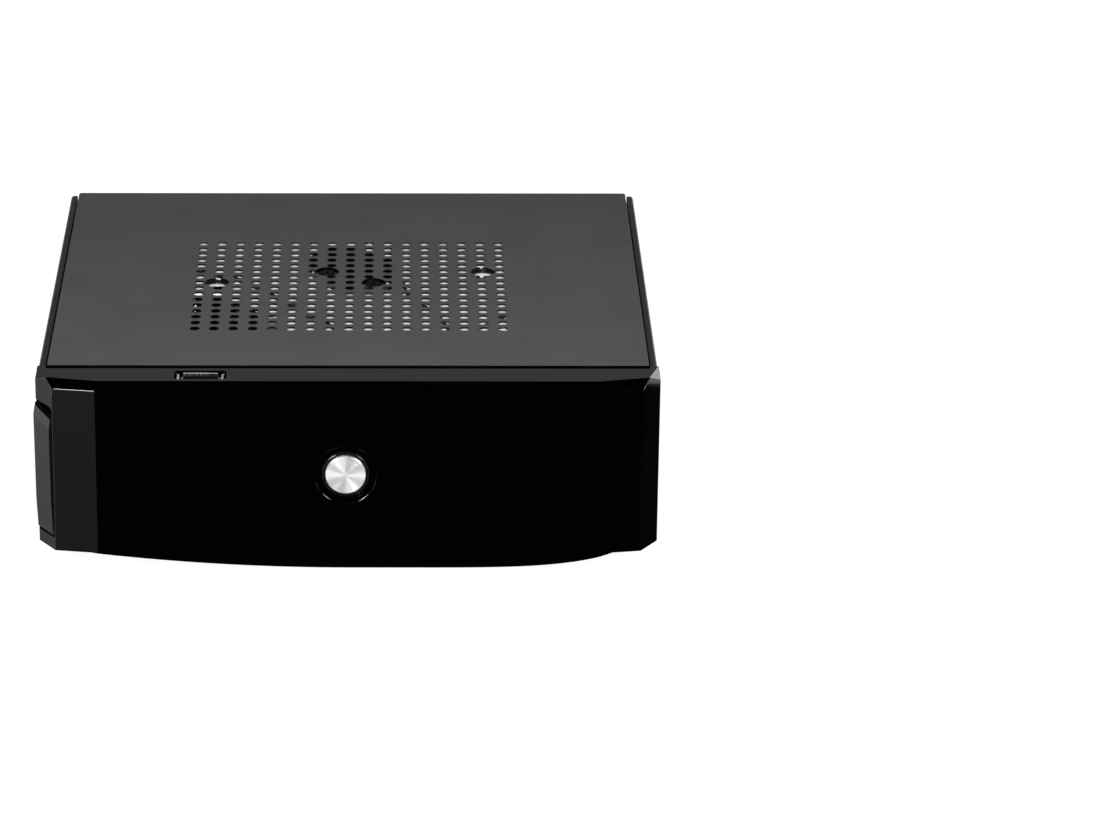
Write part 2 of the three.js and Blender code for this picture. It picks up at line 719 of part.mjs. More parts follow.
function fanFrame() {
  const half = FAN_SIZE / 2;
  const top = FAN_BOTTOM + FAN_DEPTH;
  const at = [FAN_X, FAN_Y];
  const corners = [-1, 1].flatMap((i) => [-1, 1].map((j) => [FAN_X + i * 20.5, FAN_Y + j * 20.5]));
  const body = cutAll(block(FAN_X - half, FAN_X + half, FAN_Y - half, FAN_Y + half, FAN_BOTTOM, top), [
    rod('z', at, FAN_BOTTOM - 1, top + 1, FAN_BORE, { sides: 24 }),
    ...corners.map((corner) => rod('z', corner, FAN_BOTTOM - 1, top + 1, 2, { sides: 8 })),
  ]);
  const struts = [
    block(FAN_X - half + 1, FAN_X + half - 1, FAN_Y - 1.5, FAN_Y + 1.5, FAN_BOTTOM, FAN_BOTTOM + 1.5),
    block(FAN_X - 1.5, FAN_X + 1.5, FAN_Y - half + 1, FAN_Y + half - 1, FAN_BOTTOM, FAN_BOTTOM + 1.5),
  ];
  const hub = rod('z', at, FAN_BOTTOM, FAN_BOTTOM + 1.5, 9.5, { sides: 20 });
  const post = rod('z', at, FAN_BOTTOM, FAN_BOTTOM + 7, 2, { sides: 12 });
  return body.add(joinAll([...struts, hub, post]));
}

function fanRotor() {
  const bottom = FAN_BOTTOM + 2;
  const top = FAN_BOTTOM + FAN_DEPTH - 0.6;
  const hub = rod('z', [FAN_X, FAN_Y], bottom, top, 10, { sides: 20 });
  const blades = Array.from({ length: FAN_BLADES }, (_, i) => {
    const blade = new THREE.BoxGeometry(14, 1.1, 8);
    blade.rotateX(THREE.MathUtils.degToRad(52));
    blade.translate(15.3, 0, (bottom + top) / 2);
    blade.rotateZ((i / FAN_BLADES) * Math.PI * 2);
    blade.translate(FAN_X, FAN_Y, 0);
    return toSolid(blade);
  });
  const bore = rod('z', [FAN_X, FAN_Y], bottom - 1, FAN_BOTTOM + 7.6, 2.6, { sides: 12 });
  return hub.add(joinAll(blades)).subtract(bore);
}

// ---------- drive under the cover ----------

function driveTray() {
  const plate = prismZ(
    [
      [-26, 30],
      [66, 30],
      [66, 150],
      [-66, 150],
      [-66, 87.2],
      [-48, 87.2],
      [-48, 80],
      [-26, 60],
    ],
    TRAY_BOTTOM,
    TRAY_TOP,
  );
  const flanges = [
    block(65, 66, 30, 150, TRAY_BOTTOM - 6, TRAY_TOP),
    block(-66, -65, 89, 150, TRAY_BOTTOM - 6, TRAY_TOP),
  ];
  const holes = SCREWED_DIMPLES.map((at) => rod('z', at, TRAY_BOTTOM - 1, TRAY_TOP + 1, 1.8, { sides: 10 }));
  return cutAll(plate.add(joinAll(flanges)), holes);
}

function insulatingPad() {
  const pad = prismZ(
    [
      [-3.7, 80.5],
      [11, 80.5],
      [18.5, 88],
      [18.5, 118.5],
      [3.7, 131.4],
      [-11, 131.4],
      [-18.5, 118.5],
      [-18.5, 106],
      [-11, 92],
    ],
    COVER_UNDER - 0.8,
    COVER_UNDER - 0.1,
  );
  const holes = SCREWED_DIMPLES.map((at) =>
    rod('z', at, COVER_UNDER - 4, COVER_UNDER + 1, DIMPLE_TOP_RADIUS + SHEET + 0.6),
  );
  return cutAll(pad, holes);
}

function hardDrive() {
  const bottom = DRIVE_TOP - DRIVE_HEIGHT;
  const half = DRIVE_WIDTH / 2;
  const body = block(-half, half, DRIVE_FRONT, DRIVE_FRONT + DRIVE_LENGTH, bottom, DRIVE_TOP);
  return body.subtract(block(-24, 16, DRIVE_FRONT - 1, DRIVE_FRONT + 4, bottom - 1, bottom + 4));
}

function drivePlug() {
  const bottom = DRIVE_TOP - DRIVE_HEIGHT;
  return block(-22, 14, DRIVE_FRONT - 8, DRIVE_FRONT + 3.5, bottom - 1.5, bottom + 3.5);
}

function trayScrew([x, y]) {
  const floor = COVER_TOP - DIMPLE_DEPTH;
  const head = rod('z', [x, y], floor + 0.1, floor + 1.9, 3.6, { endRadius: 3.1 });
  const shank = rod('z', [x, y], TRAY_BOTTOM + 0.2, floor + 1, 1.4, { sides: 10 });
  const socket = rod('z', [x, y], floor + 1, floor + 3, 1.2, { sides: 6 });
  return head.add(shank).subtract(socket);
}

// ---------- cables from the board to the drive ----------

const overTray = TRAY_TOP + 1.35;

function dataCable() {
  const radius = 1.0;
  return tube(
    [
      [-83, 109, BOARD_TOP + 6.4],
      [-83, 109, 32],
      [-80, 110, 60],
      [-74, 110.5, 70],
      [-70, 110, overTray - 0.5],
      [-64, 108, overTray],
      [-56, 105, overTray],
      [-44.4, 98.7, overTray],
      [-29.6, 79.7, overTray],
      [-14.8, 57, overTray],
      [-2, 41, overTray],
      [3, 34, overTray],
      [6, 28, overTray - 0.4],
      [7, 24.5, 70.5],
      [5, 24.5, 65.5],
      [0, 29, 62.6],
      [-2, 35.3, 62.3],
    ],
    radius,
    44,
  );
}

function powerLead(points) {
  return tube(points, 0.8, 40);
}

const leadLevel = TRAY_TOP + 0.95;

const LEAD_ROUTES = [
  [
    [4, 176, BOARD_TOP + 6.4],
    [4, 175, 40],
    [4, 167, 63],
    [5, 160, 70.5],
    [6, 154, leadLevel - 0.3],
    [8, 147, leadLevel],
    [14, 122, leadLevel],
    [21, 96, leadLevel],
    [23, 82, leadLevel],
    [34, 61, leadLevel],
    [38, 46, leadLevel],
    [41.5, 34, leadLevel],
    [42, 27.5, leadLevel - 0.3],
    [38, 23, 69.5],
    [27, 24, 64],
    [13, 30, 62.4],
    [10, 35.3, 62.3],
  ],
  [
    [57, 74, BOARD_TOP + 7.4],
    [60, 73, 34],
    [70, 70, 60],
    [72.5, 68, 69.5],
    [66, 65, leadLevel + 0.3],
    [58.5, 57, leadLevel],
    [51.8, 48, leadLevel],
    [45, 41, leadLevel],
    [46, 30, leadLevel],
    [42, 22.5, 69.5],
    [28, 21.5, 64],
    [12, 27, 62.4],
    [6, 35.3, 62.3],
  ],
];

// ---------- rear connectors ----------

const PLATE_FRONT = 194.2; // inner face of the connector plate
const PLATE_REAR = 196.1;
const SOCKET_FACE = PLATE_REAR + 0.6; // how far back the panel sockets reach

function ioPlate() {
  const rim = block(IO_LEFT, IO_RIGHT, REAR_WALL_OUTER + 0.1, PLATE_REAR, IO_BOTTOM, IO_TOP);
  const cuts = [
    ...BNC_PLACES.map((at) => rod('y', at, PLATE_FRONT, PLATE_REAR + 1, 6.6, { sides: 20 })),
    ...RCA_PLACES.map((at) => rod('y', at, PLATE_FRONT, PLATE_REAR + 1, 5.0, { sides: 16 })),
    ...PANEL_SOCKETS.map(({ x, z, width, height }) =>
      block(
        x - width / 2 - GAP,
        x + width / 2 + GAP,
        PLATE_FRONT,
        PLATE_REAR + 1,
        z - height / 2 - GAP,
        z + height / 2 + GAP,
      ),
    ),
  ];
  return cutAll(rim, cuts);
}

const BNC_PLACES = [
  [-90, 47],
  [-72, 47],
  [-90, 26],
  [-72, 26],
];
const RCA_PLACES = [
  [-54, 44],
  [-54, 26],
];
const PANEL_SOCKETS = [
  { name: 'vga_socket', x: -29, z: 22.5, width: 31, height: 12.5, material: 'steel' },
  { name: 'hdmi_socket', x: 0, z: 18.8, width: 15, height: 6, material: 'steel' },
  { name: 'usb_stack', x: 20, z: 23.6, width: 14, height: 15.6, material: 'steel' },
  { name: 'lan_socket', x: 41, z: 22.8, width: 16, height: 13.8, material: 'steel' },
];

// A bayonet video jack: threaded bush, barrel with two lugs, and the contact in the middle of its bore.
function bncJack([x, z]) {
  const back = 186;
  const mouth = 207;
  const barrel = joinAll([
    rod('y', [x, z], back, 194, 6.9, { sides: 6 }),
    rod('y', [x, z], 193, 198.5, 6.2),
    rod('y', [x, z], 198, mouth, 4.8),
    rod('x', [mouth - 3.5, z], x - 5.8, x + 5.8, 1, { sides: 8 }),
  ]);
  const bore = rod('y', [x, z], mouth - 8, mouth + 1, 4.0, { sides: 12 });
  const insulator = rod('y', [x, z], mouth - 9, mouth - 2, 2.2, { sides: 8 });
  const contact = rod('y', [x, z], mouth - 6, mouth, 0.7, { sides: 6 });
  return barrel.subtract(bore).add(insulator).subtract(contact);
}

function rcaJack([x, z]) {
  const body = block(x - 5.5, x + 5.5, 182, 194, z - 6, z + 6);
  const barrel = rod('y', [x, z], 193, 203.5, 4.2, { sides: 20 });
  const bore = rod('y', [x, z], 196, 205, 1.7, { sides: 10 });
  return body.add(barrel).subtract(bore);
}

// A rectangular shell socket with its tongues; the shell stands on the board behind the plate.
function panelSocket({ name, x, z, width, height }) {
  const front = SOCKET_FACE;
  const depth = name === 'lan_socket' ? 18 : 14;
  const shell = block(x - width / 2, x + width / 2, front - depth, front, z - height / 2, z + height / 2);
  const rim = 0.7;
  const cavity = block(
    x - width / 2 + rim,
    x + width / 2 - rim,
    front - depth + 2,
    front + 1,
    z - height / 2 + rim,
    z + height / 2 - rim,
  );
  return shell.subtract(cavity);
}

function vgaSocket(spec) {
  const { x, z } = spec;
  const front = SOCKET_FACE;
  const flange = block(x - 15.5, x + 15.5, front - 12, front, z - 6.2, z + 6.2);
  const shroud = prismY(
    [
      [x - 8.2, z + 4.1],
      [x - 7, z - 4.1],
      [x + 7, z - 4.1],
      [x + 8.2, z + 4.1],
    ],
    front - 1,
    front + 5.6,
  );
  const jackScrews = [x - 12.5, x + 12.5].map((at) =>
    rod('y', [at, z], front - 1, front + 4.8, 2.7, { sides: 6 }),
  );
  const bores = [-12.5, 12.5].map((dx) => rod('y', [x + dx, z], front + 1, front + 6, 1.3, { sides: 8 }));
  return cutAll(flange.add(joinAll([shroud, ...jackScrews])), bores);
}

function usbStack(spec) {
  const { x, z } = spec;
  const front = SOCKET_FACE;
  const web = block(x - 6.8, x + 6.8, front - 13, front, z - 0.6, z + 0.6);
  const tongues = [-1, 1].map((side) =>
    block(x - 5.5, x + 5.5, front - 13, front - 1, z + side * 4 - 0.2, z + side * 4 + 1.6),
  );
  return panelSocket(spec).add(joinAll([web, ...tongues]));
}

function hdmiSocket(spec) {
  const { x, z } = spec;
  const front = SOCKET_FACE;
  return panelSocket(spec).add(block(x - 5, x + 5, front - 13, front - 1.5, z - 0.6, z + 0.9));
}

function lanSocket(spec) {
  const { x, z, width, height } = spec;
  const front = SOCKET_FACE;
  const solidShell = block(x - width / 2, x + width / 2, front - 18, front, z - height / 2, z + height / 2);
  return cutAll(solidShell, [
    block(x - 5.9, x + 5.9, front - 14, front + 1, z - 3.6, z + 4.6),
    block(x - 3, x + 3, front - 10, front + 1, z - 5.8, z - 3),
  ]);
}

function dcInlet() {
  const at = DC_INLET;
  const nut = rod('y', at, REAR_WALL_OUTER + 0.2, REAR_WALL_OUTER + 3.2, 7, { sides: 6 });
  const barrel = rod('y', at, 180, REAR_WALL_OUTER + 5, 5.4, { sides: 20 });
  const bore = rod('y', at, REAR_WALL_OUTER - 5, REAR_WALL_OUTER + 6, 3.2, { sides: 16 });
  const pin = rod('y', at, REAR_WALL_OUTER - 6, REAR_WALL_OUTER + 4, 1.1, { sides: 10 });
  const flange = rod('y', at, 191.5, REAR_WALL_OUTER - WALL - GAP, 7, { sides: 20 });
  return joinAll([nut, barrel, flange]).subtract(bore).add(pin);
}

// ---------- assembly ----------

addPart('chassis_base', chassisBase(), steelBlack);
addPart('top_cover', topCover(), steelBlack);
addPart('side_panel_left', sidePanel(-1), steelBlack);
addPart('side_panel_right', sidePanel(1), steelBlack);
addPart('cover_screw_left', coverScrew(COVER_SCREWS[0]), steelBlack);
addPart('cover_screw_right', coverScrew(COVER_SCREWS[1]), steelBlack);

const feetAt = [
  [-95, 20],
  [95, 20],
  [-95, 176],
  [95, 176],
];
feetAt.forEach(([x, y], i) => addPart(`foot_${i + 1}`, foot(x, y), rubberBlack));

addPart('front_bezel', frontBezel(), bezelGloss);
addPart('button_trim', buttonTrim(), bezelGloss);
addPart('light_ring', lightRing(), smokedRing);
addPart('button_cap', buttonCap(), aluminium);
addPart('button_stem', buttonStem(), satinBlack);
addPart('switch_board', switchBoard(), boardGreen);
addPart('power_switch', powerSwitch(), socketBlack);
addPart('switch_plunger', switchPlunger(), socketBlack);

addPart('port_door', portDoor(), satinBlack, portBay);
addPart('door_hinge_pin', hingePin(), brightSteel, portBay);
addPart('port_board', block(-16, -4.8, 3.2, 3.2 + 1.2, 17, 58), boardGreen, portBay);
addPart('port_usb_upper', sideUsbShell(51), brightSteel, portBay);
addPart('port_usb_lower', sideUsbShell(37), brightSteel, portBay);
addPart('port_usb_tongue_upper', sideUsbTongue(51), socketBlack, portBay);
addPart('port_usb_tongue_lower', sideUsbTongue(37), socketBlack, portBay);
addPart('audio_jack_upper', sideAudioJack(27), socketBlack, portBay);
addPart('audio_jack_lower', sideAudioJack(20), socketBlack, portBay);

addPart('top_usb_shell', topUsbShell(), brightSteel);
addPart('top_usb_tongue', topUsbTongue(), socketBlack);
addPart('top_usb_board', block(TOP_PORT_X - 11, TOP_PORT_X + 11, -14.5, -1, 60.6, 62.2), boardGreen);

addPart('main_board', mainBoard(), boardGreen);
BOARD_HOLES.forEach(([x, y], i) => {
  addPart(`board_screw_${i + 1}`, boardScrew(BOARD_LEFT + x, BOARD_FRONT + y), zincSteel);
});
addPart(
  'processor',
  block(FAN_X - 14, FAN_X + 14, FAN_Y - 14, FAN_Y + 14, BOARD_TOP + 0.1, BOARD_TOP + 2.3),
  chipGrey,
);
addPart('heat_sink', heatSink(), aluminium);
addPart('fan_frame', fanFrame(), socketBlack);
addPart('fan_rotor', fanRotor(), socketBlack);

addPart('drive_tray', driveTray(), zincSteel);
addPart('insulating_pad', insulatingPad(), rubberBlack);
addPart('hard_drive', hardDrive(), aluminium);
addPart('drive_plug', drivePlug(), socketBlack);
addPart('tray_screw_left', trayScrew(SCREWED_DIMPLES[0]), steelBlack);
addPart('tray_screw_right', trayScrew(SCREWED_DIMPLES[1]), steelBlack);
addPart('data_cable', dataCable(), cableBlack);
LEAD_ROUTES.forEach((route, i) => addPart(`power_lead_${i + 1}`, powerLead(route), cableBlack));

addPart('io_plate', ioPlate(), zincSteel);
BNC_PLACES.forEach((at, i) => addPart(`bnc_input_${i + 1}`, bncJack(at), brightSteel));
addPart('rca_audio_in', rcaJack(RCA_PLACES[0]), socketBlack);
addPart('rca_audio_out', rcaJack(RCA_PLACES[1]), socketWhite);
const socketMakers = {
  vga_socket: vgaSocket,
  hdmi_socket: hdmiSocket,
  usb_stack: usbStack,
  lan_socket: lanSocket,
};
PANEL_SOCKETS.forEach((spec) => addPart(spec.name, socketMakers[spec.name](spec), brightSteel));
addPart('dc_inlet', dcInlet(), socketBlack);

// Shift the case frame so that the origin is the bottom centre of the whole recorder.
const bounds = new THREE.Box3().setFromObject(recorder, true);
const middle = bounds.getCenter(new THREE.Vector3());
recorder.position.set(-middle.x, -middle.y, -bounds.min.z);

export default recorder;
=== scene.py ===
"""A compact desktop video recorder: fine surfaces, materials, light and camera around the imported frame."""

import json
import math

import bmesh
import bpy
from mathutils import Matrix, Vector
from mathutils.geometry import delaunay_2d_cdt

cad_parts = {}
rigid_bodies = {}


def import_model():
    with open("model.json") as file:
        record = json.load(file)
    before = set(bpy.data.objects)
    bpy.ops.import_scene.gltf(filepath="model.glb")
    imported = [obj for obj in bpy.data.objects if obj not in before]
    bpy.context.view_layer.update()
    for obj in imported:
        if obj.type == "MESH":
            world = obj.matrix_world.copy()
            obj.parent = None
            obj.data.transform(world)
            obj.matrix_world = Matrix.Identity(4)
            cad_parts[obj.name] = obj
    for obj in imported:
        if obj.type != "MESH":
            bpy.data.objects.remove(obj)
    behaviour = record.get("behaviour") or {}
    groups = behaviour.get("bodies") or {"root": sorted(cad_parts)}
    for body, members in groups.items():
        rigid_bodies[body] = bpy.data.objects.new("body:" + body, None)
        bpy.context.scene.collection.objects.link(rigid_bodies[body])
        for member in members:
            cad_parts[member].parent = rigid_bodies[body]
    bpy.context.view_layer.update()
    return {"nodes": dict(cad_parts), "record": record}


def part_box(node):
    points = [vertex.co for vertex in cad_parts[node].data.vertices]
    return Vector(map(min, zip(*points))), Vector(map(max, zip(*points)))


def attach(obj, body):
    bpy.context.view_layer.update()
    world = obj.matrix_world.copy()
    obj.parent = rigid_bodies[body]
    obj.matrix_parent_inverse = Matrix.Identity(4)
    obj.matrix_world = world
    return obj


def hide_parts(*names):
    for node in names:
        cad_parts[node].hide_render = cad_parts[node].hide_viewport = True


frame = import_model()

# ---------- the case frame ----------
# Shapes are drawn in millimetres in the case frame: x = 0 is the middle of the cover, y = 0 the rear edge
# of the bezel and z = 0 the surface that the feet stand on. CASE takes them to the row frame, in metres.

MM = 0.001
GAP = 0.3  # between the bezel and what it meets
COVER_MIDDLE = sum(corner.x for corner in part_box("top_cover")) / 2
ORIGIN = Vector((COVER_MIDDLE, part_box("side_panel_left")[0].y - GAP * MM, 0))
CASE = Matrix.Translation(ORIGIN) @ Matrix.Diagonal((MM, MM, MM, 1))


def case_box(node):
    """The lowest and highest corners of a CAD node, in the case frame."""
    low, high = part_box(node)
    return (low - ORIGIN) / MM, (high - ORIGIN) / MM


# ---------- driving dimensions, from the frame ----------

COVER_LOW, COVER_HIGH = case_box("top_cover")
BEZEL_LOW, BEZEL_HIGH = case_box("front_bezel")
PANEL_LOW, PANEL_HIGH = case_box("side_panel_right")
CAP_LOW, CAP_HIGH = case_box("button_cap")
TOP = COVER_HIGH.z
FRONT_Y = BEZEL_LOW.y
BUTTON = ((CAP_LOW.x + CAP_HIGH.x) / 2, (CAP_LOW.z + CAP_HIGH.z) / 2)
BUTTON_RADIUS = (CAP_HIGH.x - CAP_LOW.x) / 2

# ---------- other dimensions, in millimetres ----------

PAST = 1  # how far a cutter reaches past the face that it opens
SHEET = 0.7  # cover sheet
BEND, INNER_BEND = 0.3, 0.1  # radii of the cover's folded edges
COVER_CORNER = 1.1
VENT_COLUMNS, VENT_ROWS = 17, 16
VENT_PITCH_X, VENT_PITCH_Y = 7.4, 6.36
VENT_FRONT_ROW = 39.2
VENT_RADIUS = 1.85
VENT_RIM = 0.1
VENT_CLEARANCE = 5.5  # no vent is this close to a dimple's centre
DRIVE_HOLE_PITCH = 61.72
DIMPLE_NEAR_X = 9.26
DIMPLE_MIDDLE_Y, DIMPLE_OFFSET_Y = 96.5, 6.2
DIMPLE_DEPTH = 1.6
DIMPLE_RADIUS, DIMPLE_FLOOR_RADIUS = 4.75, 4.5
DIMPLE_APRON = 0.9  # level ring of the sheet round a dimple
DIMPLE_SPREAD = 0.6  # how much wider a dimple is under the sheet
SCREW_HOLE_RADIUS, OPEN_HOLE_RADIUS = 3.0, 4.0
DIMPLE_FAR_X = DRIVE_HOLE_PITCH - DIMPLE_NEAR_X
DIMPLES = [
    (-DIMPLE_FAR_X, DIMPLE_MIDDLE_Y - DIMPLE_OFFSET_Y),
    (-DIMPLE_NEAR_X, DIMPLE_MIDDLE_Y + DIMPLE_OFFSET_Y),
    (DIMPLE_NEAR_X, DIMPLE_MIDDLE_Y - DIMPLE_OFFSET_Y),
    (DIMPLE_FAR_X, DIMPLE_MIDDLE_Y + DIMPLE_OFFSET_Y),
]

BEZEL_SIDE = BEZEL_HIGH.x  # half width of the bezel at its rear corners
BEZEL_SIDE_DEPTH = 5.1
FACET_FRONT = (110.7, -14.95)
CREASE_X = 94.5
BEZEL_BOTTOM = 6.8
BEZEL_WALL, FACET_WALL = 2.5, 4.0
BEZEL_EDGE, TOP_EDGE = 0.2, 0.05  # widths of the bezel's rounded edges
BEVEL_BACK, BEVEL_DROP = 1.85, 3.45
STRIP_CORNER, STRIP_REAR = (112.9, -11.7), (116.8, 0)  # corners of the strip on top, behind the bevel
REBATE, REBATE_DEPTH = 2.7, 1.8  # step in the strip's rear edge, in front of the cover
LIP_DEPTH = BEZEL_BOTTOM - BEZEL_LOW.z
LIP_LEFT = (97, 2)  # reach and power of the lower lip's curve on each side
LIP_RIGHT = (100, 5.5)
LIP_THICKNESS = 4
DISH_RADIUS = 12.2

DOOR_OPENING = (11.9, 64.5)
DOOR_FRONT, DOOR_REAR = 5.2, -7.6
DOOR_TOP_FRONT, DOOR_TOP_REAR = 59.9, 62.9
DOOR_INNER = -2.0
HINGE_X, HINGE_Z = -0.8, 13.5
HINGE_KNUCKLE, HINGE_HOLE = 1.4, 0.8  # half width of the gap for the hinge, and radius of its hole
RECESS_FLOOR = -2.4
RECESS_REAR, RECESS_FRONT = -8.4, 5.5
SIDE_PORT_HEIGHTS, SIDE_JACK_HEIGHTS = (51, 37), (27, 20)

TOP_PORT = (-55.2, -9.4)
COVER_SCREWS = (-95, 95)
COVER_SCREW_Z, COVER_SCREW_HOLE = 71.2, 1.9

# The nodes that are seen through the vents as dark shapes; they get a near-black material, partly painted
# shade, in place of their own.
UNDER_VENTS = (
    "insulating_pad",
    "data_cable",
    "power_lead_1",
    "power_lead_2",
    "tray_screw_left",
    "tray_screw_right",
)


# ---------- mesh helpers ----------


def as_bmesh(points, faces):
    bm = bmesh.new()
    verts = [bm.verts.new(p) for p in points]
    for face in faces:
        bm.faces.new([verts[i] for i in face])
    bmesh.ops.recalc_face_normals(bm, faces=bm.faces)
    return bm


def block(x0, x1, y0, y1, z0, z1):
    """A box between two values of each axis."""
    points = [(x, y, z) for x in (x0, x1) for y in (y0, y1) for z in (z0, z1)]
    faces = [(0, 1, 3, 2), (4, 6, 7, 5), (0, 4, 5, 1), (2, 3, 7, 6), (0, 2, 6, 4), (1, 5, 7, 3)]
    return as_bmesh(points, faces)


def hull(points):
    """The convex solid round some points."""
    bm = bmesh.new()
    for p in points:
        bm.verts.new(p)
    found = bmesh.ops.convex_hull(bm, input=bm.verts)
    inside = [v for v in found["geom_interior"] if isinstance(v, bmesh.types.BMVert)]
    bmesh.ops.delete(bm, geom=inside, context="VERTS")
    flatten(bm)
    return bm


def flatten(bm, degrees=0.6):
    """Joins coplanar faces."""
    bmesh.ops.dissolve_limit(bm, angle_limit=math.radians(degrees), verts=bm.verts, edges=bm.edges)


def loft(*rings):
    """A solid through rings that have equally many points."""
    n = len(rings[0])
    points = [point for ring in rings for point in ring]
    last = len(points)
    sides = [(k * n + i, k * n + (i + 1) % n, (k + 1) * n + (i + 1) % n, (k + 1) * n + i)
             for k in range(len(rings) - 1) for i in range(n)]
    return as_bmesh(points, [tuple(range(n)), tuple(range(last - 1, last - n - 1, -1)), *sides])


def prism(outline, axis, start, end):
    """An outline pulled along an axis; its points are in the other two axes, in x, y, z order."""
    place = {
        "x": lambda a, b, h: (h, a, b),
        "y": lambda a, b, h: (a, h, b),
        "z": lambda a, b, h: (a, b, h),
    }[axis]
    return loft(*[[place(a, b, h) for a, b in outline] for h in (start, end)])


def rod(radius, start, end):
    """The profile of a plain cylinder, for a lathe."""
    return [(0, start), (radius, start), (radius, end), (0, end)]


def lathe(profile, axis, across, segments=96):
    """A solid turned about an axis that lies at a place across it.

    The profile's points are radius and height. It closes on itself, or starts and ends on the axis.
    """
    turn = [2 * math.pi * i / segments for i in range(segments)]
    a, b = across
    place = {
        "x": lambda r, h, t: (h, a + r * math.cos(t), b + r * math.sin(t)),
        "y": lambda r, h, t: (a + r * math.cos(t), h, b + r * math.sin(t)),
        "z": lambda r, h, t: (a + r * math.cos(t), b + r * math.sin(t), h),
    }[axis]
    bm = bmesh.new()
    rings = []
    for radius, height in profile:
        if radius == 0:
            rings.append([bm.verts.new(place(0, height, 0))] * segments)
        else:
            rings.append([bm.verts.new(place(radius, height, t)) for t in turn])
    for first, second in zip(rings, rings[1:] + rings[:1]):
        for i in range(segments):
            j = (i + 1) % segments
            corners = list(dict.fromkeys([first[i], first[j], second[j], second[i]]))
            if len(corners) > 2:
                bm.faces.new(corners)
    bmesh.ops.recalc_face_normals(bm, faces=bm.faces)
    return bm


def rounded(points, radius, steps=5, closed=True):
    """The polyline with each corner rounded; a point may carry its own radius as a third number."""
    result = []
    n = len(points)
    for i, point in enumerate(points):
        corner = Vector(point[:2])
        r = point[2] if len(point) > 2 else radius
        if r <= 0 or (not closed and i in (0, n - 1)):
            result.append(tuple(corner))
            continue
        before = (Vector(points[i - 1][:2]) - corner).normalized()
        after = (Vector(points[(i + 1) % n][:2]) - corner).normalized()
        half = before.angle(after) / 2
        reach = r / math.tan(half)
        middle = corner + (before + after).normalized() * (r / math.sin(half))
        start, end = corner + before * reach - middle, corner + after * reach - middle
        sweep = start.angle(end)
        for k in range(steps + 1):
            t = k / steps
            arm = (start * math.sin((1 - t) * sweep) + end * math.sin(t * sweep)) / math.sin(sweep)
            result.append(tuple(middle + arm))
    return result


def rectangle(x0, x1, y0, y1):
    return [(x0, y0), (x1, y0), (x1, y1), (x0, y1)]


def join(*parts):
    """Several closed meshes as one mesh, without cutting them."""
    bm = bmesh.new()
    for part in parts:
        mesh = bpy.data.meshes.new("part")
        part.to_mesh(mesh)
        part.free()
        bm.from_mesh(mesh)
        bpy.data.meshes.remove(mesh)
    return bm


def combine(base, tool, operation="DIFFERENCE"):
    """The base cut by, or joined with, the tool, as a new mesh."""
    objects = []
    for bm in (base, tool):
        mesh = bpy.data.meshes.new("work")
        bm.to_mesh(mesh)
        bm.free()
        work = bpy.data.objects.new("work", mesh)
        bpy.context.scene.collection.objects.link(work)
        objects.append(work)
    cut = objects[0].modifiers.new("cut", "BOOLEAN")
    cut.object = objects[1]
    cut.operation = operation
    cut.solver = "EXACT"
    evaluated = objects[0].evaluated_get(bpy.context.evaluated_depsgraph_get())
    result = bmesh.new()
    made = bpy.data.meshes.new_from_object(evaluated)
    result.from_mesh(made)
    bpy.data.meshes.remove(made)
    for work in objects:
        mesh = work.data
        bpy.data.objects.remove(work)
        bpy.data.meshes.remove(mesh)
    return result


def moved(bm, matrix):
    bmesh.ops.transform(bm, matrix=matrix, verts=bm.verts)
    return bm


def round_edges(bm, width, segments=3, degrees=25, below=math.inf):
    """Rounds every edge that is sharper than an angle and whose middle is below a height."""
    sharp = [e for e in bm.edges if len(e.link_faces) == 2 and e.calc_face_angle() > math.radians(degrees)
             and (e.verts[0].co.z + e.verts[1].co.z) / 2 < below]
    bmesh.ops.bevel(
        bm, geom=sharp, offset=width, offset_type="OFFSET", segments=segments, profile=0.5,
        affect="EDGES", clamp_overlap=True,
    )
    return bm


def shade(mesh, degrees):
    """Shades a mesh smooth, apart from the edges that are sharper than an angle."""
    mesh.polygons.foreach_set("use_smooth", [True] * len(mesh.polygons))
    mesh.set_sharp_from_angle(angle=math.radians(degrees))


def weigh_normals(piece):
    """Keeps large flat faces flat beside rounded edges."""
    normals = piece.modifiers.new("normals", "WEIGHTED_NORMAL")
    normals.mode = "FACE_AREA"
    normals.weight = 100
    normals.keep_sharp = True


def add_piece(name, bm, material, body="case", stands_for=(), sharp=32):
    """Makes a shape from the case frame a piece of a body, in place of the CAD nodes that it stands for."""
    mesh = bpy.data.meshes.new(name)
    bm.to_mesh(mesh)
    bm.free()
    mesh.transform(CASE)
    shade(mesh, sharp)
    mesh.materials.append(material)
    piece = bpy.data.objects.new(name, mesh)
    bpy.context.scene.collection.objects.link(piece)
    weigh_normals(piece)
    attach(piece, body)
    if stands_for:
        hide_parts(*stands_for)
    return piece


# ---------- material helpers ----------

NOISE_SPAN = (0.3, 0.7)  # the part of a noise's range that it mostly stays in


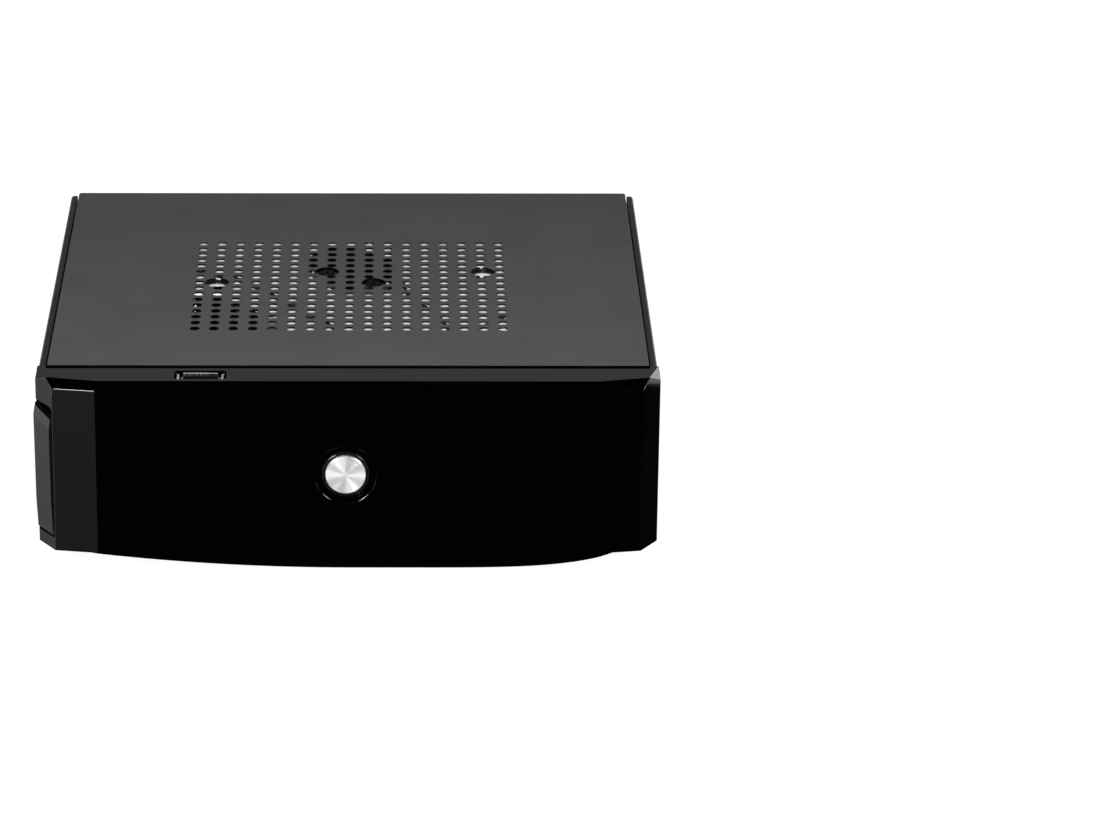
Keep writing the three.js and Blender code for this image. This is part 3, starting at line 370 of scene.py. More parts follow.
class Shader:
    """A Principled material whose patterns are laid out in object coordinates, in metres."""

    def __init__(self, name, colour, roughness, metallic=0.0, **constants):
        self.material = bpy.data.materials.new(name)
        self.material.use_nodes = True
        self.nodes = self.material.node_tree.nodes
        self.links = self.material.node_tree.links
        self.bsdf = self.nodes["Principled BSDF"]
        self.bsdf.inputs["Base Color"].default_value = (*colour, 1)
        self.bsdf.inputs["Roughness"].default_value = roughness
        self.bsdf.inputs["Metallic"].default_value = metallic
        for socket, value in constants.items():
            self.bsdf.inputs[socket.replace("_", " ")].default_value = value
        self.place = self.nodes.new("ShaderNodeTexCoord").outputs["Object"]
        self.height = None

    def noise(self, cell, detail=2.0, stretch=(1, 1, 1)):
        """Noise whose features are about a cell wide, in millimetres."""
        mapping = self.nodes.new("ShaderNodeMapping")
        mapping.inputs["Scale"].default_value = stretch
        self.links.new(self.place, mapping.inputs["Vector"])
        texture = self.nodes.new("ShaderNodeTexNoise")
        texture.inputs["Scale"].default_value = 1 / (cell * MM)
        texture.inputs["Detail"].default_value = detail
        self.links.new(mapping.outputs["Vector"], texture.inputs["Vector"])
        return texture.outputs["Fac"]

    def cells(self, cell):
        """Random cells that are about a cell wide, in millimetres."""
        texture = self.nodes.new("ShaderNodeTexVoronoi")
        texture.inputs["Scale"].default_value = 1 / (cell * MM)
        self.links.new(self.place, texture.inputs["Vector"])
        return texture

    def colour(self, value, dark, light, span=NOISE_SPAN):
        """Mixes the base colour from dark to light, as a value goes through its span."""
        node = self.nodes.new("ShaderNodeValToRGB")
        for element, position, tint in zip(node.color_ramp.elements, span, (dark, light)):
            element.position = position
            element.color = (*tint, 1)
        self.links.new(value, node.inputs["Fac"])
        self.links.new(node.outputs["Color"], self.bsdf.inputs["Base Color"])

    def rough(self, value, low, high):
        """Moves the roughness from low to high with a noise."""
        node = self.nodes.new("ShaderNodeMapRange")
        node.inputs["From Min"].default_value, node.inputs["From Max"].default_value = NOISE_SPAN
        node.inputs["To Min"].default_value = low
        node.inputs["To Max"].default_value = high
        self.links.new(value, node.inputs["Value"])
        self.links.new(node.outputs["Result"], self.bsdf.inputs["Roughness"])

    def bump(self, value, depth, strength=1.0):
        """Adds a bump of a depth in millimetres on top of the ones before it."""
        node = self.nodes.new("ShaderNodeBump")
        node.inputs["Strength"].default_value = strength
        node.inputs["Distance"].default_value = depth * MM
        self.links.new(value, node.inputs["Height"])
        if self.height:
            self.links.new(self.height, node.inputs["Normal"])
        self.height = node.outputs["Normal"]
        self.links.new(self.height, self.bsdf.inputs["Normal"])


def grey(value):
    return (value, value, value)


# ---------- materials ----------


def powder_coat():
    s = Shader("powder_coat", grey(0.004), 0.4)
    s.colour(s.noise(60, 3), grey(0.0035), grey(0.005))
    s.rough(s.noise(25, 3), 0.38, 0.44)
    s.bump(s.noise(0.55, 2), 0.008, 0.4)
    return s.material


def piano_black():
    s = Shader("piano_black", grey(0.0001), 0.04)
    s.rough(s.noise(30, 4), 0.03, 0.06)
    return s.material


def satin_black():
    s = Shader("satin_black", (0.0045, 0.0048, 0.006), 0.2)
    s.colour(s.noise(20, 3), (0.004, 0.0043, 0.0055), (0.005, 0.0053, 0.0065))
    s.rough(s.noise(8, 3), 0.17, 0.23)
    s.bump(s.noise(0.35, 2), 0.006, 0.4)
    return s.material


def rubber():
    s = Shader("rubber", grey(0.018), 0.75)
    s.colour(s.noise(3, 3), grey(0.006), grey(0.011))
    s.bump(s.noise(0.5, 3), 0.03, 0.6)
    return s.material


def zinc_plate():
    s = Shader("zinc_plate", grey(0.72), 0.42, 0.15)
    cells = s.cells(5.0)
    tint = s.nodes.new("ShaderNodeSeparateColor")
    s.links.new(cells.outputs["Color"], tint.inputs["Color"])
    s.colour(tint.outputs["Red"], (0.70, 0.71, 0.73), (0.84, 0.85, 0.87), span=(0, 1))
    s.rough(s.noise(4, 3), 0.36, 0.5)
    s.bump(s.noise(0.6, 2, stretch=(1, 0.12, 1)), 0.006, 0.4)
    return s.material


def nickel():
    s = Shader("nickel", grey(0.72), 0.22, 1.0)
    s.colour(s.noise(6, 3), (0.62, 0.62, 0.61), (0.78, 0.775, 0.76))
    s.rough(s.noise(2.5, 3), 0.16, 0.3)
    s.bump(s.noise(1.5, 2, stretch=(1, 1, 0.2)), 0.002, 0.3)
    return s.material


def gold():
    s = Shader("gold_contact", (0.86, 0.62, 0.27), 0.25, 1.0)
    s.rough(s.noise(1.5, 2), 0.2, 0.32)
    return s.material


def spun_aluminium():
    s = Shader("spun_aluminium", grey(0.9), 0.37, 0.8, Anisotropic=0.85, Anisotropic_Rotation=0.25)
    tangent = s.nodes.new("ShaderNodeTangent")
    tangent.direction_type = "RADIAL"
    tangent.axis = "Y"
    s.links.new(tangent.outputs["Tangent"], s.bsdf.inputs["Tangent"])
    s.rough(s.noise(2.0, 3), 0.35, 0.4)
    return s.material


def cast_aluminium():
    s = Shader("cast_aluminium", grey(0.62), 0.42, 1.0)
    s.colour(s.noise(8, 3), grey(0.55), grey(0.68))
    s.rough(s.noise(3, 3), 0.36, 0.5)
    s.bump(s.noise(0.4, 3), 0.01, 0.5)
    return s.material


def smoked():
    s = Shader("smoked_ring", (0.005, 0.005, 0.0055), 0.1)
    s.rough(s.noise(3, 2), 0.08, 0.14)
    return s.material


def circuit_board():
    s = Shader("solder_mask", (0.008, 0.055, 0.025), 0.3)
    lanes = s.nodes.new("ShaderNodeTexBrick")
    lanes.inputs["Scale"].default_value = 1 / (6 * MM)
    lanes.inputs["Mortar Size"].default_value = 0.035
    lanes.inputs["Color1"].default_value = (0.006, 0.050, 0.022, 1)
    lanes.inputs["Color2"].default_value = (0.010, 0.066, 0.030, 1)
    lanes.inputs["Mortar"].default_value = (0.028, 0.135, 0.062, 1)
    s.links.new(s.place, lanes.inputs["Vector"])
    s.links.new(lanes.outputs["Color"], s.bsdf.inputs["Base Color"])
    s.bump(lanes.outputs["Fac"], 0.03, 0.6)
    s.rough(s.noise(10, 2), 0.24, 0.36)
    return s.material


def moulded(name, dark, light):
    s = Shader(name, dark, 0.5)
    s.colour(s.noise(5, 3), dark, light)
    s.rough(s.noise(2, 3), 0.42, 0.56)
    s.bump(s.noise(0.3, 2), 0.008, 0.5)
    return s.material


def painted_shade_black():
    # Black parts made darker than black plastic, with weak reflection: painted shade inside the case
    s = Shader("black_and_painted_shade", grey(0.0015), 0.6, Specular_IOR_Level=0.12)
    s.colour(s.noise(2, 3), grey(0.001), grey(0.002))
    s.rough(s.noise(1, 3), 0.5, 0.7)
    return s.material


def cable():
    s = Shader("cable_jacket", grey(0.008), 0.4)
    s.rough(s.noise(2, 3), 0.34, 0.48)
    s.bump(s.noise(0.8, 2), 0.01, 0.4)
    return s.material


MATERIALS = {
    "case_steel": powder_coat(),
    "bezel_gloss": piano_black(),
    "satin_plastic": satin_black(),
    "rubber_black": rubber(),
    "zinc_steel": zinc_plate(),
    "bright_steel": nickel(),
    "aluminium": cast_aluminium(),
    "smoked_ring": smoked(),
    "circuit_board": circuit_board(),
    "socket_black": moulded("black_insulator", grey(0.004), grey(0.008)),
    "socket_white": moulded("white_insulator", grey(0.66), grey(0.78)),
    "cable_black": cable(),
    "chip_package": moulded("chip_package", grey(0.020), grey(0.032)),
}
GOLD = gold()
PAINTED_SHADE_BLACK = painted_shade_black()
SPUN = spun_aluminium()


# ---------- camera ----------


def camera():
    """A long lens in front, looking down, shifted so that the recorder stands left of the middle."""
    pitch, roll = 22.0, 0.06
    eye = Vector((16.0, -1617.4, 710.6))
    data = bpy.data.cameras.new("camera")
    data.lens = 151.27
    data.sensor_width = 36
    data.shift_x = 0.145
    data.clip_start, data.clip_end = 0.05, 50
    view = bpy.data.objects.new("camera", data)
    aim = Matrix.Rotation(math.radians(90 - pitch), 4, "X") @ Matrix.Rotation(math.radians(roll), 4, "Z")
    view.matrix_world = Matrix.Translation(ORIGIN + eye * MM) @ aim
    bpy.context.scene.collection.objects.link(view)
    bpy.context.scene.camera = view


# ---------- cover ----------


def cover_outline(inset):
    x, corner = COVER_HIGH.x - inset, COVER_CORNER - inset
    return rounded(rectangle(-x, x, COVER_LOW.y + inset, COVER_HIGH.y - inset), corner, 6)


def pressed_plate(bm, outline, dimples):
    """A level plate between an outline ring and the dimples' outer rings."""
    rings = [outline, *dimples]
    verts = [v for ring in rings for v in ring]
    ring_of = [number for number, ring in enumerate(rings) for _ in ring]
    edges, start = [], 0
    for ring in rings:
        n = len(ring)
        edges += [(start + i, start + (i + 1) % n) for i in range(n)]
        start += n
    places = [Vector(v.co.xy) for v in verts]
    _, _, faces, origins, _, _ = delaunay_2d_cdt(places, edges, [], 1, 1e-5)
    for face in faces:
        corners = [origins[i][0] for i in face]
        touched = {ring_of[i] for i in corners}
        # A triangle that only touches one dimple's ring lies in its hole.
        if touched == {0} or len(touched) > 1:
            bm.faces.new([verts[i] for i in corners])


def cover_sheet():
    """The cover with folded edges and pressed dimples, before its vents are cut."""
    bm = bmesh.new()
    bend_steps = 5

    def ring(points, z):
        return [bm.verts.new((x, y, z)) for x, y in points]

    def circle(at, radius, z, segments=64):
        turn = [2 * math.pi * i / segments for i in range(segments)]
        return ring([(at[0] + radius * math.cos(t), at[1] + radius * math.sin(t)) for t in turn], z)

    def skin(rings):
        for first, second in zip(rings, rings[1:]):
            n = len(first)
            for i in range(n):
                bm.faces.new([first[i], first[(i + 1) % n], second[(i + 1) % n], second[i]])

    def fold(radius, inset, z_top):
        """Insets and heights of a quarter bend that ends at a level top."""
        turn = [math.pi / 2 * i / bend_steps for i in range(bend_steps + 1)]
        return [(inset + radius * (1 - math.cos(t)), z_top - radius * (1 - math.sin(t))) for t in turn]

    outer = [(0, COVER_LOW.z), *fold(BEND, 0, TOP)]
    inner = [(SHEET, COVER_LOW.z), *fold(INNER_BEND, SHEET, TOP - SHEET)]
    outer_rings = [ring(cover_outline(inset), z) for inset, z in outer]
    inner_rings = [ring(cover_outline(inset), z) for inset, z in inner]
    skin(outer_rings)
    skin(inner_rings)
    skin([outer_rings[0], inner_rings[0]])

    floor = TOP - DIMPLE_DEPTH
    top_loops, under_loops = [], []
    for at in DIMPLES:
        hole = SCREW_HOLE_RADIUS if abs(at[0]) < DIMPLE_FAR_X else OPEN_HOLE_RADIUS
        wall = [
            (DIMPLE_RADIUS + DIMPLE_APRON, TOP, 0),
            (DIMPLE_RADIUS, TOP, 0.45),
            (DIMPLE_FLOOR_RADIUS, floor, 0.2),
            (hole, floor, 0),
        ]
        top_profile = rounded(wall, 0, 5, closed=False)
        under = [
            (hole, floor - SHEET, 0),
            (DIMPLE_FLOOR_RADIUS + DIMPLE_SPREAD, floor - SHEET, 0.5),
            (DIMPLE_RADIUS + DIMPLE_SPREAD, TOP - SHEET, 0.3),
            (DIMPLE_RADIUS + DIMPLE_SPREAD + DIMPLE_APRON, TOP - SHEET, 0),
        ]
        under_profile = rounded(under, 0, 5, closed=False)
        rings = [circle(at, radius, z) for radius, z in [*top_profile, *under_profile]]
        skin(rings)
        top_loops.append(rings[0])
        under_loops.append(rings[-1])
    pressed_plate(bm, outer_rings[-1], top_loops)
    pressed_plate(bm, inner_rings[-1], under_loops)
    bmesh.ops.recalc_face_normals(bm, faces=bm.faces)
    return bm


def vent_cutters():
    """One cutter for each vent; those beside a dimple don't reach down through its wall."""
    margin, short_reach, long_reach = 1.5, 0.25, DIMPLE_DEPTH + PAST
    cutters = []
    for row in range(VENT_ROWS):
        for column in range(VENT_COLUMNS):
            x = (column - (VENT_COLUMNS - 1) / 2) * VENT_PITCH_X
            y = VENT_FRONT_ROW + row * VENT_PITCH_Y
            nearest = min(math.dist((x, y), at) for at in DIMPLES)
            if nearest > VENT_CLEARANCE:
                beside = nearest < DIMPLE_RADIUS + VENT_RADIUS + margin
                bottom = TOP - SHEET - (short_reach if beside else long_reach)
                profile = [
                    (0, bottom),
                    (VENT_RADIUS, bottom),
                    (VENT_RADIUS, TOP - VENT_RIM),
                    (VENT_RADIUS + VENT_RIM, TOP),
                    (VENT_RADIUS + VENT_RIM, TOP + PAST),
                    (0, TOP + PAST),
                ]
                cutters.append(lathe(profile, "z", (x, y), 28))
    return join(*cutters)


def cover():
    """The folded sheet with its vents and the holes for its two rear screws."""
    bm = combine(cover_sheet(), vent_cutters())
    hole = rod(COVER_SCREW_HOLE, COVER_HIGH.y - 2, COVER_HIGH.y + PAST)
    bm = combine(bm, join(*[lathe(hole, "y", (x, COVER_SCREW_Z), 32) for x in COVER_SCREWS]))
    add_piece("cover_sheet", bm, MATERIALS["case_steel"], stands_for=["top_cover"], sharp=10)


def side_panels():
    """A long rail on each side, with its upper outer edge the roundest."""
    low, high = PANEL_LOW, PANEL_HIGH
    material = MATERIALS["case_steel"]
    for side, name in ((-1, "left"), (1, "right")):
        outline = [
            (low.x, low.z, 0.3),
            (high.x, low.z, 0.5),
            (high.x, high.z, 1.3),
            (low.x, high.z, 0.25),
        ]
        bm = prism([(side * x, z) for x, z in rounded(outline, 0.3, 6)], "y", low.y, high.y)
        flatten(bm, 0.1)
        round_edges(bm, 0.18, segments=2, degrees=60)
        add_piece(f"side_rail_{name}", bm, material, stands_for=[f"side_panel_{name}"])


# ---------- front bezel ----------


def bezel_plan(wall, facet_wall):
    """Half of the bezel's plan outline, inset by a wall thickness."""
    inset = facet_wall * 1.2
    return [
        (BEZEL_SIDE - wall, 0),
        (BEZEL_SIDE - wall, -BEZEL_SIDE_DEPTH + wall * 0.3 + facet_wall * 0.2),
        (FACET_FRONT[0] - inset * 0.7, FACET_FRONT[1] + inset * 0.5),
        (CREASE_X, FRONT_Y + wall),
    ]


def plan_ring(plan, z):
    """Half a plan outline and its mirror image, at a height."""
    return [(side * x, y, z) for x, y in plan for side in (-1, 1)]


def facet_matrix():
    """The left corner facet's own frame: X out of the facet, Y along it to the front, Z up."""
    rear = Vector((-BEZEL_SIDE, -BEZEL_SIDE_DEPTH))
    front = Vector((-FACET_FRONT[0], FACET_FRONT[1]))
    middle, along = (rear + front) / 2, (front - rear).normalized()
    turn = Matrix.Rotation(math.atan2(-along.x, along.y), 4, "Z")
    return Matrix.Translation((middle.x, middle.y, 0)) @ turn


FACET = facet_matrix()


def lip_cutter():
    """What is cut away under the bezel: its lower edge is level at the ends and bowed along the front."""
    steps, wide, front, rear, below = 96, 140, -30, 6, BEZEL_LOW.z - 2
    points = [(-wide, BEZEL_BOTTOM), (-wide, below), (wide, below), (wide, BEZEL_BOTTOM)]
    for i in range(steps + 1):
        t = math.cos(math.pi * i / steps)
        reach, power = LIP_RIGHT if t > 0 else LIP_LEFT
        points.append((t * reach, BEZEL_BOTTOM - LIP_DEPTH * (1 - abs(t) ** power)))
    bowed = prism(points, "y", front, rear)
    behind_lip = block(-wide, wide, FRONT_Y + LIP_THICKNESS, rear + PAST, below - PAST, BEZEL_BOTTOM)
    return combine(bowed, behind_lip, "UNION")


def door_recess():
    """The opening behind the port door, with rounded corners and a chamfered rim."""
    low, high = DOOR_OPENING
    rim, reach, skin = 0.28, 4, 0.03
    inner = rounded([
        (RECESS_REAR, low, 0.2),
        (RECESS_FRONT, low, 0.6),
        (RECESS_FRONT, high, 1.6),
        (RECESS_REAR, high, 0.2),
    ], 0, 6)
    middle_y, middle_z = (RECESS_REAR + RECESS_FRONT) / 2, (low + high) / 2
    flare = [(y + math.copysign(rim, y - middle_y), z + math.copysign(rim, z - middle_z)) for y, z in inner]
    pocket = prism(inner, "x", RECESS_FLOOR, reach)
    chamfer = loft([(-rim, y, z) for y, z in inner], [(skin, y, z) for y, z in flare])
    return moved(combine(pocket, chamfer, "UNION"), FACET)


def port_slots():
    """Openings in the recess floor, each the shape of its port."""
    half_y, half_z, jack_radius, depth = 3.2, 6.85, 2.9, -9
    ports = []
    for z in SIDE_PORT_HEIGHTS:
        outline = rounded(rectangle(-half_y, half_y, z - half_z, z + half_z), 0.5, 4)
        ports.append(prism(outline, "x", depth, 0))
    for z in SIDE_JACK_HEIGHTS:
        ports.append(lathe(rod(jack_radius, depth, 0), "x", (0, z), 40))
    return moved(join(*ports), FACET)


def top_port_slot():
    """The opening for the port in the top strip, with a chamfered rim."""
    x, y = TOP_PORT
    half_x, half_y, corner, rim, depth, skin = 9.65, 4.1, 1.3, 0.2, 5, 0.02

    def ring(wider, z):
        wide, deep = half_x + wider, half_y + wider
        outline = rounded(rectangle(x - wide, x + wide, y - deep, y + deep), corner + wider, 5)
        return [(a, b, z) for a, b in outline]

    return loft(ring(0, TOP - depth), ring(0, TOP - rim), ring(rim, TOP + skin), ring(rim, TOP + PAST))


def bezel_outside():
    """The moulding as a solid block, with its bevels and rounded edges; its top edges stay almost sharp."""
    outside = hull([
        *plan_ring(bezel_plan(0, 0), BEZEL_LOW.z - 1),
        *plan_ring(bezel_plan(0, 0), TOP - BEVEL_DROP),
        *plan_ring([STRIP_REAR, STRIP_CORNER, (CREASE_X, FRONT_Y + BEVEL_BACK)], TOP),
    ])
    round_edges(outside, BEZEL_EDGE, segments=4, degrees=5, below=TOP - 0.5)
    return round_edges(outside, TOP_EDGE, segments=2, degrees=12)


def bezel_cavity():
    """The hollow behind the front wall, which is open at the rear."""
    plan = [(x, 6 if y == 0 else y) for x, y in bezel_plan(BEZEL_WALL, FACET_WALL)]
    return hull([*plan_ring(plan, BEZEL_BOTTOM + BEZEL_WALL), *plan_ring(plan, TOP - BEZEL_WALL)])


def bezel():
    """The glossy front moulding with everything cut out of it."""
    half = COVER_HIGH.x + 0.2
    rebate = block(-half, half, -REBATE, PAST, TOP - REBATE_DEPTH, TOP + PAST)
    dish = lathe(rod(DISH_RADIUS + GAP, FRONT_Y - PAST, FRONT_Y + 5), "y", BUTTON, 96)
    button_and_port = join(dish, top_port_slot())
    bm = bezel_outside()
    for cutter in (lip_cutter(), bezel_cavity(), rebate, door_recess(), port_slots(), button_and_port):
        bm = combine(bm, cutter)
    gloss = MATERIALS["bezel_gloss"]
    add_piece("bezel_moulding", bm, gloss, stands_for=["front_bezel"], sharp=20)


# ---------- power button ----------


def button_face():
    """The spun cap, with a small chamfer round its face."""
    r, face, depth = BUTTON_RADIUS, CAP_LOW.y, 2.0
    profile = [
        (0, face, 0),
        (r - 0.2, face, 0.05),
        (r, face + 0.2, 0.1),
        (r, face + depth, 0),
        (0, face + depth, 0),
    ]
    cap = lathe(rounded(profile, 0, 4), "y", BUTTON, 144)
    add_piece("button_face", cap, SPUN, body="button", stands_for=["button_cap"])


def glow_ring():
    """The dark ring round the cap, on a wider flange behind it."""
    low, high = case_box("light_ring")
    inner, outer, flange, length = BUTTON_RADIUS + 0.4, 9.0, 11.5, 4
    profile = [
        (inner, low.y, 0.1),
        (outer, low.y, 0.55),
        (outer, low.y + length, 0),
        (flange, low.y + length, 0),
        (flange, high.y, 0),
        (inner, high.y, 0),
    ]
    ring = lathe(rounded(profile, 0, 4), "y", BUTTON, 128)
    add_piece("glow_ring", ring, MATERIALS["smoked_ring"], stands_for=["light_ring"])


def button_surround():
    """The dish round the ring: a level floor, a slope out to the front, and a flange behind."""
    inner, floor_radius, rim, flange = 9.3, 10.6, 11.55, 14.5
    face, floor, step, rear = (FRONT_Y + depth for depth in (0.02, 1.6, 2.8, 4.3))
    profile = [
        (inner, floor, 0.1),
        (floor_radius, floor, 0.02),
        (rim, face, 0.7),
        (DISH_RADIUS, face, 0),
        (DISH_RADIUS, step, 0),
        (flange, step, 0),
        (flange, rear, 0),
        (inner, rear, 0),
    ]
    trim = lathe(rounded(profile, 0, 6), "y", BUTTON, 144)
    add_piece("button_surround", trim, MATERIALS["bezel_gloss"], stands_for=["button_trim"])


# ---------- port door ----------


def door_level(inner, proud, z_front, z_rear):
    """One level of the door in the facet frame; its rear end wraps round onto the side of the bezel."""
    middle = FACET.to_translation()
    along = FACET.to_3x3() @ Vector((0, 1, 0))
    side_x = -BEZEL_SIDE - proud * 0.83 - middle.x

    def y_at(x):
        return (side_x - x * along.y) / along.x

    corners = [
        (inner, DOOR_FRONT),
        (proud, DOOR_FRONT),
        (proud, y_at(proud)),
        ((side_x - DOOR_REAR * along.x) / along.y, DOOR_REAR),
        (inner, DOOR_REAR),
    ]
    span = DOOR_FRONT - DOOR_REAR
    return [(x, y, z_front + (z_rear - z_front) * (DOOR_FRONT - y) / span) for x, y in corners]


def door():
    """The panel is proud of the facet at the top, under a sloping shoulder, and goes in at the bottom."""
    bottom, middle, shoulder = DOOR_OPENING[0] + 0.4, 25, 3.7
    panel = hull([
        *door_level(HINGE_X - 0.4, -0.3, bottom, bottom),
        *door_level(DOOR_INNER, 0.4, bottom + 0.8, bottom + 0.8),
        *door_level(DOOR_INNER, 0.98, middle, middle),
        *door_level(DOOR_INNER, 1.2, DOOR_TOP_FRONT - shoulder, DOOR_TOP_REAR - shoulder),
        *door_level(DOOR_INNER, 0.4, DOOR_TOP_FRONT, DOOR_TOP_REAR),
    ])
    round_edges(panel, 0.3, segments=4, degrees=8)
    knuckle_gap = block(DOOR_INNER - PAST, HINGE_X + 0.35, -HINGE_KNUCKLE, HINGE_KNUCKLE,
                        DOOR_OPENING[0] - PAST, HINGE_Z + 2)
    pin_hole = lathe(rod(HINGE_HOLE, -9, 9), "y", (HINGE_X, HINGE_Z), 24)
    bm = moved(combine(combine(panel, knuckle_gap), pin_hole), FACET)
    satin = MATERIALS["satin_plastic"]
    add_piece("door_panel", bm, satin, body="door", stands_for=["port_door"])


# ---------- socket in the top strip ----------


def port_sleeve():
    """The metal sleeve, open at the top and cut down on three sides, with an ear beside each end."""
    x, y = TOP_PORT
    low, high = case_box("top_usb_shell")
    top = high.z
    half_x, half_y, wall, rear_wall = 7.4, 3.4, 0.7, 0.9
    front_cut, end_cut, wide = 0.9, 1.8, 9
    outer = rounded(rectangle(x - half_x, x + half_x, y - half_y, y + half_y), 0.7, 4)
    room_x, room_front, room_rear = half_x - wall, half_y - wall, half_y - rear_wall
    inner = rounded(rectangle(x - room_x, x + room_x, y - room_front, y + room_rear), 0.45, 4)
    shell = combine(prism(outer, "z", low.z, top), prism(inner, "z", low.z + PAST, top + PAST))
    shell = combine(shell, block(x - wide, x + wide, y - 4, y - 2.2, top - front_cut, top + PAST))
    ends = [(-wide, -6.5), (6.5, wide)]
    cuts = [block(x + a, x + b, y - 5, y + 5, top - end_cut, top + PAST) for a, b in ends]
    shell = combine(shell, join(*cuts))
    round_edges(shell, 0.08, segments=2, degrees=50)
    ear_x, ear_thick, ear_long, ear_bottom, ear_top = 8.3, 0.42, 2.6, top - 0.9, top - 0.3
    ears = []
    for side in (-1, 1):
        middle = x + side * ear_x
        ear = rectangle(middle - ear_thick, middle + ear_thick, y - ear_long, y + ear_long)
        ears.append(prism(rounded(ear, 0.3, 3), "z", ear_bottom, ear_top))
    metal = MATERIALS["bright_steel"]
    add_piece("top_port_sleeve", join(shell, *ears), metal, stands_for=["top_usb_shell"])


def port_tongue():
    """The black tongue with its four contacts, and a black liner on the sleeve's rear wall that is painted
    shade inside the sleeve.
    """
    x, y = TOP_PORT
    low, high = case_box("top_usb_tongue")
    sleeve_top = case_box("top_usb_shell")[1].z
    tongue = block(low.x, high.x, low.y, high.y, low.z, high.z - 1.2)
    # Painted shade: a near-black liner over the sleeve's rear wall, below its bright top, stands in for the
    # shade inside the sleeve; the insulator piece joins it to the tongue
    painted_shade_liner = block(x - 6.6, x + 6.6, y + 1.9, y + 2.4, low.z + 1, sleeve_top - 1.0)
    insulator = join(tongue, painted_shade_liner)
    add_piece("top_port_tongue", insulator, PAINTED_SHADE_BLACK, stands_for=["top_usb_tongue"])
    count, pitch, half = 4, 2.4, 0.5
    face, root, bottom, top = low.y - 0.12, low.y + 0.05, high.z - 7, high.z - 2.1
    contacts = []
    for i in range(count):
        middle = x + (i - (count - 1) / 2) * pitch
        contacts.append(block(middle - half, middle + half, face, root, bottom, top))
    add_piece("top_port_contacts", join(*contacts), GOLD)


# ---------- monitor socket at the rear ----------


def monitor_socket():
    """A flange with two jack nuts and a hollow shroud, round an insert with fifteen holes."""
    low, high = case_box("vga_socket")
    x, z, end = (low.x + high.x) / 2, (low.z + high.z) / 2, high.y
    front = end - 5.6  # where the shroud leaves the flange
    half_top, half_bottom, half_height, wall = 8.2, 7, 4.1, 0.45
    thread_radius, nut_radius, nut_end, nut_offset = 1.4, 2.7, front + 4.8, 12.5

    def outline(inset, corner):
        wide, narrow, half = half_top - inset, half_bottom - inset, half_height - inset
        corners = [
            (x - wide, z + half),
            (x - narrow, z - half),
            (x + narrow, z - half),
            (x + wide, z + half),
        ]
        return rounded(corners, corner, 4)

    flange = prism(rounded(rectangle(low.x, high.x, low.z, high.z), 0.8, 4), "y", low.y, front)
    shroud = prism(outline(0, 1.6), "y", front - 1, end)
    shroud = combine(shroud, prism(outline(wall, 1.2), "y", front + 0.3, end + PAST))
    nut = [
        (0, front - 1),
        (nut_radius, front - 1),
        (nut_radius, nut_end),
        (thread_radius, nut_end),
        (thread_radius, front + 1),
        (0, front + 1),
    ]
    nuts = [lathe(nut, "y", (x + side * nut_offset, z), 6) for side in (-1, 1)]
    body = join(flange, shroud, *nuts)
    metal = MATERIALS["bright_steel"]
    add_piece("monitor_socket", body, metal, stands_for=["vga_socket"], sharp=25)

    pitch, row_pitch, hole = 2.29, 1.98, rod(0.5, end - 3, end + PAST)
    holes = []
    for row in (-1, 0, 1):
        shift = 0.25 if row else -0.25  # the middle row is staggered by half a pitch
        for i in range(5):
            holes.append(lathe(hole, "y", (x + (i - 2 + shift) * pitch, z + row * row_pitch), 16))
    insert = combine(prism(outline(0.5, 1.1), "y", front - 0.5, end - 0.35), join(*holes))
    add_piece("monitor_socket_insert", insert, MATERIALS["socket_black"])


# ---------- carried-over parts ----------


def dress_frame():
    """Gives every CAD node its material, near-black painted shade for the nodes under the vents, and finely
    rounded edges.
    """
    same_point, edge_width, flat_degrees, edge_degrees = 0.002 * MM, 0.12 * MM, 1, 50
    slots = {part["node"]: part["material_slot"] for part in frame["record"]["subparts"]}
    for name, node in frame["nodes"].items():
        node.data.materials.clear()
        # The nodes under the vents get near-black painted shade in place of their own finish
        node.data.materials.append(PAINTED_SHADE_BLACK if name in UNDER_VENTS else MATERIALS[slots[name]])
        weld = node.modifiers.new("weld", "WELD")
        weld.merge_threshold = same_point
        flat = node.modifiers.new("flat", "DECIMATE")
        flat.decimate_type = "DISSOLVE"
        flat.angle_limit = math.radians(flat_degrees)
        edge = node.modifiers.new("edge", "BEVEL")
        edge.width = edge_width
        edge.segments = 2
        edge.limit_method = "ANGLE"
        edge.angle_limit = math.radians(edge_degrees)
        weigh_normals(node)


# ---------- studio ----------


def glowing(name, colour, strength):
    """A matt material that gives off white light."""
    white = (1, 1, 1, 1)
    return Shader(name, colour, 0.9, Specular_IOR_Level=0, Emission_Color=white, Emission_Strength=strength)


def light_only(light, pieces, clear):
    """Flags a light off everything but some pieces; a clear one has nothing else in its way."""
    lit = bpy.data.collections.new(f"lit_by_{light.name}")
    for piece in pieces:
        lit.objects.link(piece)
    light.light_linking.receiver_collection = lit
    if clear:
        light.light_linking.blocker_collection = lit


def card(name, corners, colour, glow=0.0, only=()):
    """A flat card on the table that only reflections show; it may be flagged off all but some pieces."""
    height = 0.5
    bm = bmesh.new()
    bm.faces.new([bm.verts.new((x, y, height)) for x, y in corners])
    mesh = bpy.data.meshes.new(name)
    bm.to_mesh(mesh)
    bm.free()
    mesh.transform(CASE)
    mesh.materials.append(glowing(name, colour, glow).material)
    piece = bpy.data.objects.new(name, mesh)
    bpy.context.scene.collection.objects.link(piece)
    piece.visible_camera = False
    piece.visible_diffuse = False
    piece.visible_shadow = False
    piece.visible_transmission = False
    piece.visible_volume_scatter = False
    if only:
        light_only(piece, only, clear=True)


